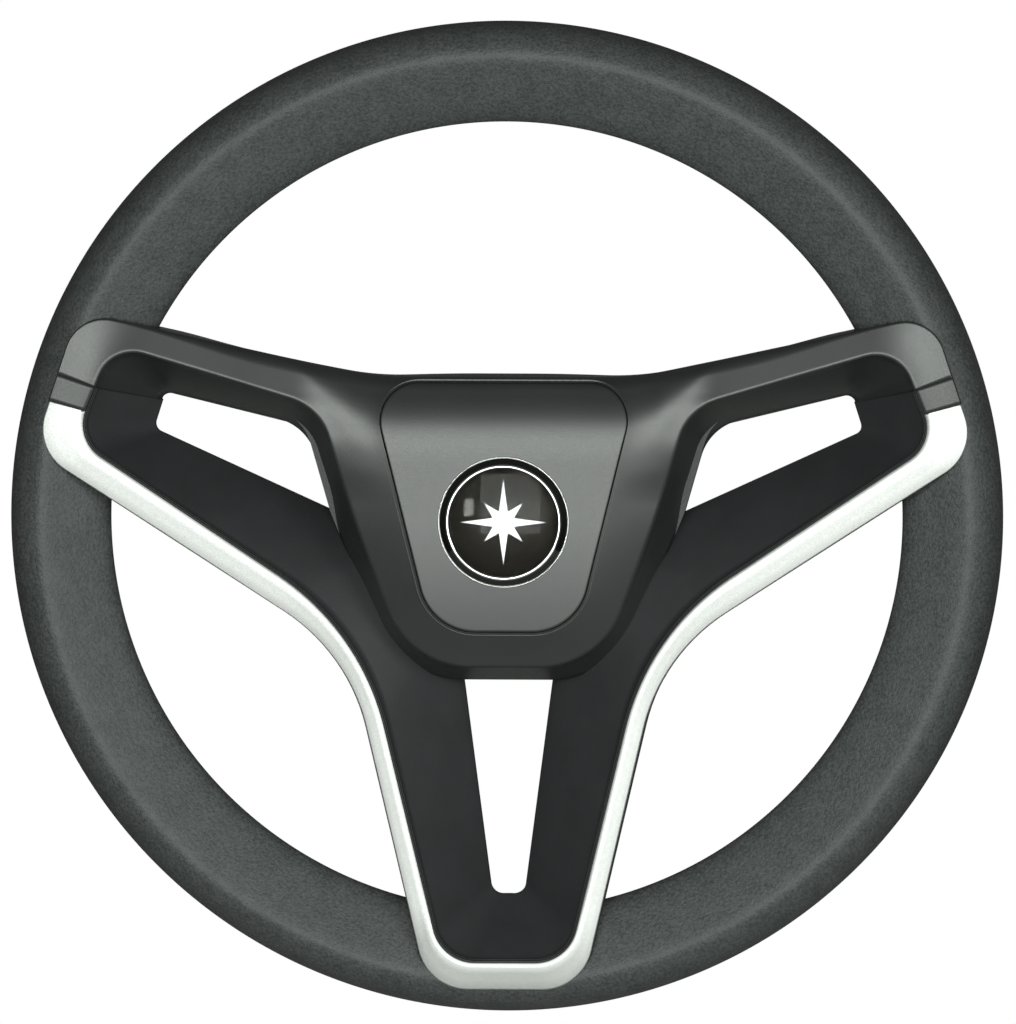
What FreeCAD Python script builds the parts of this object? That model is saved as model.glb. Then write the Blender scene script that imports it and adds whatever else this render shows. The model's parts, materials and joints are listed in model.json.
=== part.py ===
"""A boat steering wheel: a soft oval rim, a Y-shaped spoke set and a tapered hub.

All sizes are millimetres. The shaft axis is Y. The hub's rear face, where the shaft
enters, is at Y = 0, and the driver's side is towards -Y. +Z is up when the boat runs
straight ahead. A depth, called t here, is counted forwards from the rim's middle plane,
which lies rim_plane in front of the hub's rear face.
"""

import FreeCAD
import Part
import Sketcher
import math
import os
from FreeCAD import Placement, Rotation, Vector

# Driving sizes. In the outlines x is half a width, z a distance above or below the
# shaft axis, and r a corner radius; a name that ends in t is a depth.
SIZES = {
    # rim and the steel ring inside it
    "rim_plane": 62.0,
    "rim_circle": 157.2,
    "rim_half_width": 17.8,
    "rim_half_depth": 15.5,
    "core_tube": 5.0,
    "mould_gap": 0.1,
    "pocket_floor_t": 7.4,
    "rim_gap": 0.3,
    # outer outline of the three spokes
    "waist_x": 45.5,
    "waist_z": 50.3,
    "waist_r": 100.0,
    "wing_x": 148.6,
    "wing_z": 72.4,
    "wing_r": 14.0,
    "tip_x": 166.0,
    "tip_z": 24.2,
    "tip_r": 17.0,
    "bend_x": 55.4,
    "bend_z": 47.4,
    "bend_r": 67.0,
    "foot_x": 27.4,
    "foot_z": 166.5,
    "foot_r": 18.0,
    # front edge of the recess
    "lip_top_z": 20.8,
    "lip_wing_x": 138.1,
    "lip_wing_z": 61.3,
    "lip_wing_r": 12.7,
    "lip_tip_x": 151.6,
    "lip_tip_z": 28.0,
    "lip_tip_r": 13.5,
    "lip_bend_x": 50.6,
    "lip_bend_z": 39.1,
    "lip_bend_r": 90.0,
    "lip_foot_x": 22.3,
    "lip_foot_z": 156.3,
    "lip_foot_r": 15.0,
    # back edge of the recess, which is the edge of the windows and the slot
    "window_t": -11.0,
    "window_top_z": 13.0,
    "window_wing_x": 121.5,
    "window_wing_z": 42.8,
    "window_wing_r": 3.2,
    "window_tip_x": 125.7,
    "window_tip_z": 29.5,
    "window_tip_r": 3.5,
    "window_bend_x": 21.1,
    "window_bend_z": 18.2,
    "window_bend_r": 12.0,
    "slot_x": 6.0,
    "slot_z": 135.2,
    "slot_r": 4.6,
    # walls and fronts of the spoke covers
    "flange_t": 13.5,
    "trim_t": 16.5,
    "block_t": 17.6,
    "ribbon_t": 19.5,
    "ribbon_bevel": 4.0,
    "rear_bevel": 3.0,
    "skirt_t": -2.0,
    "wall": 2.5,
    "seam_gap": 0.2,
    "trim_inset": 0.6,
    "trim_bevel": 1.6,
    # seam lines at the ends of the side spokes
    "seam_in_x": 130.0,
    "seam_out_x": 170.0,
    "upper_seam_in_z": 41.6,
    "upper_seam_out_z": 55.4,
    "lower_seam_in_z": 32.7,
    "lower_seam_out_z": 44.2,
    # bowl over the hub
    "bowl_top_z": 50.5,
    "bowl_back_t": -1.5,
    "bowl_edge_t": 19.0,
    "bowl_face_t": 26.0,
    "bowl_roll_r": 14.0,
    "bowl_mid_z": 1.0,
    "bowl_wall": 2.5,
    "bowl_ear_x": 85.0,
    "skirt_corner_x": 72.2,
    "skirt_corner_r": 18.0,
    "skirt_mid_x": 62.4,
    "skirt_low_x": 38.0,
    "skirt_low_z": 58.0,
    "skirt_low_r": 34.0,
    "edge_corner_x": 65.5,
    "edge_corner_r": 20.0,
    "edge_mid_x": 53.8,
    "edge_low_x": 34.2,
    "edge_low_z": 52.5,
    "edge_low_r": 30.0,
    "face_ear_x": 58.0,
    "face_ear_z": 47.0,
    "face_corner_x": 52.5,
    "face_corner_z": 44.5,
    "face_corner_r": 4.0,
    "face_mid_x": 41.0,
    "face_low_x": 28.0,
    "face_low_z": 43.5,
    "face_low_r": 23.0,
    # centre pad
    "pad_top_x": 47.1,
    "pad_top_z": 48.4,
    "pad_top_r": 13.0,
    "pad_low_x": 25.5,
    "pad_low_z": 39.0,
    "pad_low_r": 20.0,
    "pad_thick": 3.0,
    "pad_drop": 8.0,
    "pad_gap": 0.3,
    "ledge_thick": 3.0,
    "ledge_wide": 4.0,
    "leg_long": 11.0,
    "leg_wide": 8.0,
    "leg_thick": 2.0,
    "upper_leg_x": 25.0,
    "lower_leg_x": 11.0,
    "clip_thick": 0.6,
    "clip_high": 6.0,
    # badge
    "badge_r": 23.1,
    "badge_seat": 1.0,
    "badge_gap": 0.1,
    "bezel_in_r": 19.8,
    "bezel_high": 4.0,
    "bezel_round": 1.2,
    "disc_thick": 1.4,
    "star_long": 15.0,
    "star_short": 9.5,
    "star_waist": 4.0,
    "star_thick": 0.3,
    "dome_rim": 0.6,
    "dome_high": 1.8,
    # armature and the sleeve in it
    "arm_back_t": -8.0,
    "arm_front_t": -2.0,
    "arm_wide": 10.0,
    "arm_root_x": 12.0,
    "arm_root_z": 27.2,
    "arm_end_x": 143.0,
    "arm_end_z": 62.5,
    "leg_root_x": 20.0,
    "leg_root_z": 22.0,
    "knee_x": 38.0,
    "knee_z": 60.0,
    "foot_end_x": 23.0,
    "foot_end_z": 152.5,
    "boss_r": 22.0,
    "boss_set_back": 1.0,
    "hub_plate_r": 34.0,
    "nut_pocket_r": 17.0,
    "sleeve_r": 14.0,
    "sleeve_long": 35.0,
    "taper_r": 9.525,
    "taper_per_side": 0.0416667,
    "key_wide": 4.76,
    "key_deep": 2.4,
    # rear cover and hub shroud
    "rear_t": -18.0,
    "rim_clear": 0.8,
    "notch_gap": 0.4,
    "hub_hole_gap": 1.0,
    "shroud_front_r": 37.0,
    "shroud_back_r": 29.0,
    "shroud_flange_wide": 7.0,
    "shroud_wall": 2.5,
    "shroud_set_back": 3.0,
    # screws
    "head_r": 3.4,
    "head_high": 2.2,
    "screw_r": 1.9,
    "screw_long": 17.0,
    "cover_screw_long": 7.0,
    "shroud_screw_long": 9.0,
    "screw_point": 2.0,
    "screw_tip_r": 0.5,
    "screw_gap": 0.1,
    "well_wall": 2.2,
    "well_floor": 2.4,
    "post_wall": 2.3,
    "recess_wide": 1.0,
    "recess_long": 3.8,
    "recess_deep": 1.2,
    "wing_screw_x": 104.0,
    "leg_screw_z": 108.0,
    "cover_screw_x": 92.0,
    "cover_screw_z": 54.0,
}

CLEAR = 200.0  # longer than any half of the wheel
SHROUD_SCREW_TURNS = (90.0, 210.0, 330.0)
STAR_POINTS = 8

doc = FreeCAD.newDocument("BoatSteeringWheel")
nodes = {}
plane_of = {}


class Size:
    """A number together with the sheet expression that gives it."""

    def __init__(self, text, number):
        self.text = text
        self.number = number

    def __add__(self, other):
        return join(self, "+", other, self.number + plain(other))

    def __sub__(self, other):
        return join(self, "-", other, self.number - plain(other))

    def __mul__(self, other):
        return join(self, "*", other, self.number * plain(other))

    def __truediv__(self, other):
        return join(self, "/", other, self.number / plain(other))

    def __neg__(self):
        return Size("(0 - " + self.text + ")", -self.number)


def plain(value):
    """The number of a Size or of a plain number."""
    return value.number if isinstance(value, Size) else float(value)


def words(value):
    """The expression text of a Size or of a plain number."""
    return value.text if isinstance(value, Size) else "(" + repr(float(value)) + ")"


def join(first, sign, second, number):
    """A Size worked out from two others."""
    return Size("(" + words(first) + " " + sign + " " + words(second) + ")", number)


def size(name):
    """A driving size, read from its cell."""
    return Size("Sizes." + name, SIZES[name])


def hypot(first, second):
    """The length of a line with the two given legs."""
    text = "sqrt(" + words(first) + " ^ 2 + " + words(second) + " ^ 2)"
    return Size(text, math.hypot(plain(first), plain(second)))


def bind(thing, name, value):
    """Ties one property of a document object to a Size."""
    thing.setExpression(name, words(value))


def place(thing, x, y, z, turn=None):
    """Puts an object's origin at x, y, z, with an optional fixed turn."""
    thing.Placement = Placement(Vector(plain(x), plain(y), plain(z)), turn or Rotation())
    bind(thing, "Placement.Base.x", x)
    bind(thing, "Placement.Base.y", y)
    bind(thing, "Placement.Base.z", z)


def at_depth(t):
    """The Y coordinate of a depth."""
    return -(size("rim_plane") + t)


ZERO = Size("0", 0.0)
FACING = Rotation(Vector(1, 0, 0), 90)  # turns local z to -Y, towards the driver
SIDEWAYS = Rotation(Vector(1, 1, 1), 120)  # turns local x to Y and local y to Z


def make_sheet():
    """The sheet that holds the driving sizes, one row each."""
    sheet = doc.addObject("Spreadsheet::Sheet", "Sizes")
    for row, (name, number) in enumerate(SIZES.items(), start=1):
        sheet.set("A" + str(row), name)
        sheet.set("B" + str(row), str(number))
        sheet.setAlias("B" + str(row), name)
    doc.recompute()


def held(first, first_end, value, along):
    """A constraint that keeps a point at a signed distance from the origin."""
    if abs(plain(value)) < 1e-9:
        axis = -2 if along == "DistanceX" else -1
        return Sketcher.Constraint("PointOnObject", first, first_end, axis), None
    if plain(value) > 0:
        return Sketcher.Constraint(along, -1, 1, first, first_end, plain(value)), value
    return Sketcher.Constraint(along, first, first_end, -1, 1, -plain(value)), -value


def draw(sketch, corners):
    """Draws a closed outline with straight sides and rounded corners.

    Each corner is (u, v, radius), where u and v place the point where its two sides
    would meet and the radius is None for a sharp corner. An arc runs tangent to both
    sides, so the corner points and the radii fix the outline completely.
    """
    count = len(corners)
    points = [Vector(plain(u), plain(v), 0) for u, v, _ in corners]
    ends = []
    arcs = []
    for i, (_, _, radius) in enumerate(corners):
        before = (points[i - 1] - points[i]).normalize()
        after = (points[(i + 1) % count] - points[i]).normalize()
        if radius is None:
            ends.append((points[i], points[i]))
            arcs.append(None)
            continue
        half = before.getAngle(after) / 2
        reach = plain(radius) / math.tan(half)
        start = points[i] + before * reach
        stop = points[i] + after * reach
        centre = points[i] + (before + after).normalize() * (plain(radius) / math.sin(half))
        left = before.cross(after).z < 0
        first, last = (start, stop) if left else (stop, start)
        a = math.atan2(first.y - centre.y, first.x - centre.x)
        b = math.atan2(last.y - centre.y, last.x - centre.x)
        if b < a:
            b += 2 * math.pi
        circle = Part.Circle(centre, Vector(0, 0, 1), plain(radius))
        ends.append((start, stop))
        arcs.append((Part.ArcOfCircle(circle, a, b), 1 if left else 2))
    for i in range(count):
        sketch.addGeometry(Part.LineSegment(ends[i][1], ends[(i + 1) % count][0]))
    rules = []
    bound = []
    for i, (u, v, radius) in enumerate(corners):
        into, out = (i - 1) % count, i
        if arcs[i] is None:
            rules.append(Sketcher.Constraint("Coincident", into, 2, out, 1))
            item, end = out, 1
        else:
            arc, first_end = arcs[i]
            curve = sketch.addGeometry(arc)
            rules.append(Sketcher.Constraint("Tangent", into, 2, curve, first_end))
            rules.append(Sketcher.Constraint("Tangent", out, 1, curve, 3 - first_end))
            rules.append(Sketcher.Constraint("Radius", curve, plain(radius)))
            bound.append((len(rules) - 1, radius))
            item, end = sketch.addGeometry(Part.Point(points[i]), True), 1
            rules.append(Sketcher.Constraint("PointOnObject", item, 1, into))
            rules.append(Sketcher.Constraint("PointOnObject", item, 1, out))
        for value, along in ((u, "DistanceX"), (v, "DistanceY")):
            rule, kept = held(item, end, value, along)
            rules.append(rule)
            if kept is not None:
                bound.append((len(rules) - 1, kept))
    sketch.addConstraint(rules)
    for index, value in bound:
        if isinstance(value, Size):
            sketch.renameConstraint(index, "size" + str(index))
            bind(sketch, "Constraints.size" + str(index), value)
    return sketch


def mirrored(right_side, top=None):
    """A closed outline from its right-hand corners, listed from the top down.

    A corner on the centre line, if there is one, comes first.
    """
    left_side = [(-x, z, r) for x, z, r in reversed(right_side)]
    return ([top] if top else []) + list(right_side) + left_side


def outline(name, corners, t):
    """A flat outline facing the driver at a depth."""
    sketch = doc.addObject("Sketcher::SketchObject", name)
    place(sketch, ZERO, at_depth(t), ZERO, FACING)
    plane_of[name] = t
    return draw(sketch, corners)


def moved_edge(name, source, by, t=None, sharp=False):
    """An outline offset outwards by a distance, and moved to another depth if given."""
    edge = doc.addObject("Part::Offset2D", name)
    edge.Source = source
    edge.Join = 2 if sharp else 0
    edge.Value = plain(by)
    bind(edge, "Value", by)
    own = plane_of[source.Name]
    plane_of[name] = own if t is None else t
    if t is not None:
        place(edge, ZERO, own - t, ZERO)
    return edge


def prism(name, source, back, front):
    """The straight solid of an outline between two depths."""
    solid = doc.addObject("Part::Extrusion", name)
    solid.Base = source
    solid.DirMode = "Custom"
    solid.Dir = Vector(0, -1, 0)
    solid.Solid = True
    own = plane_of[source.Name]
    bind(solid, "LengthFwd", front - own)
    bind(solid, "LengthRev", own - back)
    return solid


def ruled(name, *sections):
    """The solid between outlines with as many sides, joined straight."""
    solid = doc.addObject("Part::Loft", name)
    solid.Sections = list(sections)
    solid.Ruled = True
    solid.Solid = True
    return solid


def bevelled(name, edge_at, level, far_level, bevel):
    """A prism of an outline whose edge is bevelled at one level.

    edge_at draws the outline at a given depth. The straight side runs from the far
    level to a bevel's depth short of the level, and a slope closes the rest.
    """
    outwards = 1 if plain(level) > plain(far_level) else -1
    shoulder_t = level - bevel * outwards
    shoulder = edge_at(name + "_shoulder", shoulder_t)
    crest = moved_edge(name + "_crest", shoulder, -bevel, level)
    back, front = (far_level, shoulder_t) if outwards > 0 else (shoulder_t, far_level)
    side = prism(name + "_side", shoulder, back, front)
    return fuse(name, side, ruled(name + "_slope", shoulder, crest))


def cut(name, base, *tools):
    """A base with one or more tools taken away."""
    tool = tools[0] if len(tools) == 1 else fuse(name + "_tools", *tools)
    result = doc.addObject("Part::Cut", name)
    result.Base = base
    result.Tool = tool
    return result


def fuse(name, *parts):
    """Several overlapping solids joined into one."""
    result = doc.addObject("Part::MultiFuse", name)
    result.Shapes = list(parts)
    return result


def common(name, *parts):
    """What several solids share."""
    result = doc.addObject("Part::MultiCommon", name)
    result.Shapes = list(parts)
    return result


def peg(name, x, z, back, front, radius):
    """A round solid between two depths."""
    solid = doc.addObject("Part::Cylinder", name)
    bind(solid, "Radius", radius)
    bind(solid, "Height", front - back)
    place(solid, x, at_depth(back), z, FACING)
    return solid


def ring_tube(name, radius):
    """A round tube bent round the rim's circle."""
    solid = doc.addObject("Part::Torus", name)
    bind(solid, "Radius1", size("rim_circle"))
    bind(solid, "Radius2", radius)
    place(solid, ZERO, at_depth(ZERO), ZERO, FACING)
    return solid


def brick(name, x, z, wide, high, back, front):
    """A rectangular solid, centred on x and z, between two depths."""
    solid = doc.addObject("Part::Box", name)
    bind(solid, "Length", wide)
    bind(solid, "Width", front - back)
    bind(solid, "Height", high)
    place(solid, x - wide / 2, at_depth(front), z - high / 2)
    return solid


def bar(name, start, end, wide, back, front):
    """A flat bar along the line from start to end, each given as x and z."""
    run_x = end[0] - start[0]
    run_z = end[1] - start[1]
    length = hypot(run_x, run_z)
    half = wide / 2
    # A turn is kept as a positive angle, so its axis points the way that the line needs.
    sense = 1 if plain(run_z) < 0 else -1
    fall = run_z * -sense
    turn = Rotation(Vector(0, sense, 0), math.degrees(math.atan2(plain(fall), plain(run_x))))
    solid = doc.addObject("Part::Box", name)
    bind(solid, "Length", length)
    bind(solid, "Width", front - back)
    bind(solid, "Height", wide)
    x = start[0] + half * run_z / length
    z = start[1] - half * run_x / length
    place(solid, x, at_depth(front), z, turn)
    solid.setExpression("Placement.Rotation.Angle", "atan2(" + words(fall) + "; " + words(run_x) + ")")
    return solid


def turned(name, corners):
    """A body turned about the shaft axis from a profile of (radius, Y, corner radius)."""
    body = doc.addObject("PartDesign::Body", name)
    sketch = body.newObject("Sketcher::SketchObject", name + "_profile")
    plane = [p for p in body.Origin.OriginFeatures if p.Role == "XY_Plane"][0]
    sketch.AttachmentSupport = (plane, [""])
    sketch.MapMode = "FlatFace"
    draw(sketch, corners)
    turn = body.newObject("PartDesign::Revolution", name + "_turn")
    turn.Profile = sketch
    turn.ReferenceAxis = (sketch, ["V_Axis"])
    turn.Angle = 360
    body.Tip = turn
    return body


def node(name, thing):
    """Names a finished piece of the wheel."""
    thing.Label = name
    nodes[name] = thing
    return thing


make_sheet()

wall = size("wall")
gap = size("seam_gap")
rear_reach = size("rim_circle") - size("rim_half_width") - size("rim_clear")
flange_wide = size("shroud_flange_wide")
flange_t = size("flange_t")
window_t = size("window_t")
skirt_t = size("skirt_t")
rear_t = size("rear_t")
far = Size(repr(CLEAR), CLEAR)


def spoke_edge(name, t):
    """Outer outline of the whole Y, drawn at a depth."""
    return outline(name, mirrored([
        (size("waist_x"), size("waist_z"), size("waist_r")),
        (size("wing_x"), size("wing_z"), size("wing_r")),
        (size("tip_x"), size("tip_z"), size("tip_r")),
        (size("bend_x"), -size("bend_z"), size("bend_r")),
        (size("foot_x"), -size("foot_z"), size("foot_r")),
    ]), t)


def lip_edge():
    """Front edge of the recess."""
    return mirrored([
        (size("lip_wing_x"), size("lip_wing_z"), size("lip_wing_r")),
        (size("lip_tip_x"), size("lip_tip_z"), size("lip_tip_r")),
        (size("lip_bend_x"), -size("lip_bend_z"), size("lip_bend_r")),
        (size("lip_foot_x"), -size("lip_foot_z"), size("lip_foot_r")),
    ], (ZERO, size("lip_top_z"), None))


def window_edge():
    """Back edge of the recess: the windows and the slot, joined behind the bowl."""
    return mirrored([
        (size("window_wing_x"), size("window_wing_z"), size("window_wing_r")),
        (size("window_tip_x"), size("window_tip_z"), size("window_tip_r")),
        (size("window_bend_x"), -size("window_bend_z"), size("window_bend_r")),
        (size("slot_x"), -size("slot_z"), size("slot_r")),
    ], (ZERO, size("window_top_z"), None))


def on_recess_wall(x, t):
    """The height of the recess's upper wall at x and a depth."""
    low, high = [
        size(edge + "_top_z") + x * (size(edge + "_wing_z") - size(edge + "_top_z")) / size(edge + "_wing_x")
        for edge in ("window", "lip")
    ]
    return low + (high - low) * (t - window_t) / (flange_t - window_t)


def bowl_ear(level):
    """The end of the bowl's ear, which runs into the ribbon, and the corner below it."""
    ear_x = size("bowl_ear_x")
    corner_x = size(level + "_corner_x")
    if level == "skirt":
        back_t = size("bowl_back_t")
        return (ear_x, on_recess_wall(ear_x, back_t)), (corner_x, on_recess_wall(corner_x, back_t))
    if level == "edge":
        edge_t = size("bowl_edge_t")
        return (ear_x, on_recess_wall(ear_x, edge_t)), (corner_x, on_recess_wall(corner_x, flange_t))
    return (size("face_ear_x"), size("face_ear_z")), (corner_x, size("face_corner_z"))


def bowl_side(level):
    """The lower two corners of the bowl's outline."""
    return [
        (size(level + "_mid_x"), size("bowl_mid_z"), None),
        (size(level + "_low_x"), -size(level + "_low_z"), size(level + "_low_r")),
    ]


def bowl_edge(level):
    """Outline of the bowl at its skirt, at its soft edge or at its face.

    The corner below the ear rounds the hub end of the window.
    """
    ear, corner = bowl_ear(level)
    ear_corners = [
        (ear[0], size("bowl_top_z"), None),
        (ear[0], ear[1], None),
        (corner[0], corner[1], size(level + "_corner_r")),
    ]
    return mirrored(ear_corners + bowl_side(level))


def plain_bowl_edge(level):
    """The bowl's outline without its ears: the sides run straight up to the top."""
    corner = bowl_ear(level)[1]
    rise = (size("bowl_top_z") - size("bowl_mid_z")) / (corner[1] - size("bowl_mid_z"))
    top_x = size(level + "_mid_x") + (corner[0] - size(level + "_mid_x")) * rise
    return mirrored([(top_x, size("bowl_top_z"), None)] + bowl_side(level))


def seam_point(level, side, reach):
    """A point of an end seam, level upper or lower, reach in or out."""
    return size("seam_" + reach + "_x") * side, size(level + "_seam_" + reach + "_z")


def seam_corners(level, side, reach):
    """The same point as a sharp corner of an outline."""
    x, z = seam_point(level, side, reach)
    return x, z, None


spokes = spoke_edge("spoke_outline", ZERO)
lip = outline("lip_outline", lip_edge(), flange_t)
window = outline("window_outline", window_edge(), window_t)
bowl_skirt = outline("bowl_skirt_outline", bowl_edge("skirt"), size("bowl_back_t"))
bowl_soft = outline("bowl_soft_outline", bowl_edge("edge"), size("bowl_edge_t"))
bowl_face = outline("bowl_face_outline", bowl_edge("face"), size("bowl_face_t"))
pad_edge = outline("pad_outline", mirrored([
    (size("pad_top_x"), size("pad_top_z"), size("pad_top_r")),
    (size("pad_low_x"), -size("pad_low_z"), size("pad_low_r")),
]), size("bowl_face_t"))

upper_zone = outline("upper_zone_outline", [
    (-far, far, None),
    seam_corners("upper", -1, "out"),
    seam_corners("upper", -1, "in"),
    (ZERO, ZERO, None),
    seam_corners("upper", 1, "in"),
    seam_corners("upper", 1, "out"),
    (far, far, None),
], ZERO)
lower_zone = outline("lower_zone_outline", [
    (-far, -far, None),
    seam_corners("lower", -1, "out"),
    seam_corners("lower", -1, "in"),
    (ZERO, ZERO, None),
    seam_corners("lower", 1, "in"),
    seam_corners("lower", 1, "out"),
    (far, -far, None),
], ZERO)

spokes_in = moved_edge("spokes_inside", spokes, -wall)
spokes_flange = moved_edge("spokes_flange", spokes, -(wall + gap))
upper_half = prism("upper_half", upper_zone, -far, far)
lower_half = prism("lower_half", lower_zone, -far, far)
lip_hole = prism("lip_hole", lip, -far, far)
window_hole = prism("window_hole", window, -far, far)
skirt_zone = prism("skirt_zone", bowl_skirt, -far, far)


def funnel(name, spare):
    """The tapered space of the recess, grown all round by a thickness."""
    front = moved_edge(name + "_front", lip, spare)
    back = moved_edge(name + "_back", window, spare)
    return ruled(name, back, front)


recess = ruled("recess_space", window, lip)
recess_wall = funnel("recess_wall", wall)
recess_room = funnel("recess_room", wall + size("rim_gap"))
rim_room = cut(
    "rim_room",
    peg("rim_room_disc", ZERO, ZERO, -far, size("pocket_floor_t") + size("rim_gap"), far),
    peg("rim_room_hole", ZERO, ZERO, -far, far, rear_reach),
)


near_bowl = moved_edge("bowl_skirt_clear", bowl_skirt, gap, sharp=True)


def arm_line():
    """The centre line of the right-hand arm of the armature."""
    root = (size("arm_root_x"), size("arm_root_z"))
    return root, (size("arm_end_x"), size("arm_end_z"))


def on_arm(x):
    """The height of the arm's centre line at x."""
    root, end = arm_line()
    return root[1] + (x - root[0]) * (end[1] - root[1]) / (end[0] - root[0])


def on_leg(z):
    """The x of the lower leg's centre line at a distance z below the axis."""
    fall = (z - size("knee_z")) / (size("foot_end_z") - size("knee_z"))
    return size("knee_x") - (size("knee_x") - size("foot_end_x")) * fall


def arms(name, spare):
    """The six flat bars of the armature, grown all round by a clearance."""
    knee = (size("knee_x"), -size("knee_z"))
    lines = {
        "arm": arm_line(),
        "thigh": ((size("leg_root_x"), -size("leg_root_z")), knee),
        "shin": (knee, (size("foot_end_x"), -size("foot_end_z"))),
    }
    wide = size("arm_wide") + spare * 2
    back = size("arm_back_t") - spare
    front = size("arm_front_t") + spare
    bars = []
    for word, (start, end) in lines.items():
        bars.append(bar(name + "_right_" + word, start, end, wide, back, front))
        left_start = (-start[0], start[1])
        left_end = (-end[0], end[1])
        bars.append(bar(name + "_left_" + word, left_start, left_end, wide, back, front))
    for side in (1, -1):
        knee_peg = name + "_knee" + ("_right" if side > 0 else "_left")
        bars.append(peg(knee_peg, knee[0] * side, knee[1], back, front, wide / 2))
    bars.append(peg(name + "_plate", ZERO, ZERO, back, front, size("hub_plate_r") + spare))
    return bars


def rear_screw_places():
    """Where the four screws of the rear cover go: two in the arms, two in the legs."""
    wing_x = size("wing_screw_x")
    leg_z = size("leg_screw_z")
    return {
        "right_wing": (wing_x, on_arm(wing_x)),
        "left_wing": (-wing_x, on_arm(wing_x)),
        "right_leg": (on_leg(leg_z), -leg_z),
        "left_leg": (-on_leg(leg_z), -leg_z),
    }


def cover_screw_places():
    """Where the two screws between the fascia and the front cover go."""
    x, z = size("cover_screw_x"), size("cover_screw_z")
    return {"right": (x, z), "left": (-x, z)}


def shroud_screw_places():
    """Where the three screws of the hub shroud go, evenly round the hub."""
    circle = size("shroud_front_r") + flange_wide / 2
    places = {}
    for number, turn in enumerate(SHROUD_SCREW_TURNS):
        angle = math.radians(turn)
        places["no" + str(number)] = (circle * math.cos(angle), circle * math.sin(angle))
    return places


def pegs(name, places, back, front, radius):
    """The same round solid at each of several places."""
    return [peg(name + "_" + key, x, z, back, front, radius) for key, (x, z) in places.items()]


hole_r = size("screw_r") + size("screw_gap")
post_r = size("screw_r") + size("post_wall")
well_floor_t = size("arm_back_t") - gap / 2
head_seat_t = well_floor_t - size("well_floor")


def make_rim():
    """The steel ring and the soft grip moulded round it.

    The grip's section is an ellipse. It is cut back where the spoke covers lie on it,
    and the armature's arm ends are buried in it.
    """
    node("rim_core_ring", ring_tube("rim_core_ring", size("core_tube")))
    section = doc.addObject("Part::Ellipse", "grip_section")
    bind(section, "MajorRadius", size("rim_half_width"))
    bind(section, "MinorRadius", size("rim_half_depth"))
    place(section, size("rim_circle"), at_depth(ZERO), ZERO)
    full = doc.addObject("Part::Revolution", "grip_full")
    full.Source = section
    full.Axis = Vector(0, 1, 0)
    full.Angle = 360
    full.Solid = True
    under_covers = moved_edge("grip_pocket_outline", spokes, size("rim_gap"))
    pocket = prism("grip_pocket", under_covers, size("pocket_floor_t"), far)
    channel = ring_tube("grip_channel", size("core_tube") + size("mould_gap"))
    node("rim_grip", cut("rim_grip", full, channel, pocket, recess_room, *arms("socket", ZERO)))


def make_armature():
    """The die-cast boss, hub plate, two arms and forked lower leg."""
    boss_back = size("boss_set_back") - size("rim_plane")
    boss = peg("boss", ZERO, ZERO, boss_back, ZERO, size("boss_r"))
    sleeve_front = size("sleeve_long") - size("rim_plane")
    casting = fuse("armature_casting", boss, *arms("armature", ZERO))
    bore = peg("sleeve_bore", ZERO, ZERO, -far, sleeve_front, size("sleeve_r"))
    pocket = peg("nut_pocket", ZERO, ZERO, sleeve_front, far, size("nut_pocket_r"))
    saddle = ring_tube("armature_saddle", size("core_tube") + size("mould_gap"))
    holes = pegs("arm_hole", rear_screw_places(), -far, far, hole_r + gap)
    node("hub_armature", cut("hub_armature", casting, bore, pocket, saddle, *holes))


def make_sleeve():
    """The steel sleeve with the shaft taper, wide end at the rear, and its keyway."""
    length = size("sleeve_long")
    small_r = size("taper_r") - size("taper_per_side") * length
    body = turned("sleeve_body", [
        (size("taper_r"), ZERO, None),
        (size("sleeve_r"), ZERO, None),
        (size("sleeve_r"), -length, None),
        (small_r, -length, None),
    ])
    reach = size("taper_r") + size("key_deep")
    key = brick(
        "keyway", ZERO, reach / 2, size("key_wide"), reach,
        -(size("rim_plane") + gap), length + gap - size("rim_plane"),
    )
    node("hub_insert", cut("hub_insert", body, key))


def make_fascia():
    """The black moulding: a flange, a skirt on the lower edges and the lower recess walls."""
    flange_back = flange_t - wall
    flange = prism("fascia_flange", spokes_flange, flange_back, flange_t)
    lower_flange = common(
        "fascia_lower_flange",
        prism("fascia_wide_flange", spokes, flange_back, flange_t), lower_half,
    )
    skirt = cut(
        "fascia_skirt",
        common("fascia_block", prism("fascia_full", spokes, skirt_t, flange_t), lower_half),
        prism("fascia_inside", spokes_in, -far, flange_t),
        rim_room,
    )
    places = rear_screw_places()
    post_back = size("arm_front_t") + gap / 2
    posts = pegs("fascia_post", places, post_back, flange_back + wall / 2, post_r)
    screw_tip = head_seat_t + size("screw_long")
    holes = pegs("fascia_hole", places, -far, screw_tip + gap, hole_r)
    cover_holes = pegs("fascia_pass", cover_screw_places(), -far, far, hole_r)
    near_soft = moved_edge("bowl_soft_clear", bowl_soft, gap, sharp=True)
    bowl_space = fuse(
        "bowl_space",
        prism("bowl_space_below", near_bowl, -far, size("bowl_back_t")),
        ruled("bowl_space_above", near_bowl, near_soft),
    )
    body = fuse("fascia_body", flange, lower_flange, skirt, recess_wall, *posts)
    # The walls above the seams belong to the front cover.
    cover_walls = common("fascia_cover_walls", recess_room, upper_half)
    opened = cut("fascia_opened", body, recess, bowl_space, *holes, *cover_holes)
    node("spoke_fascia", cut("spoke_fascia", opened, cover_walls))


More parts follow.
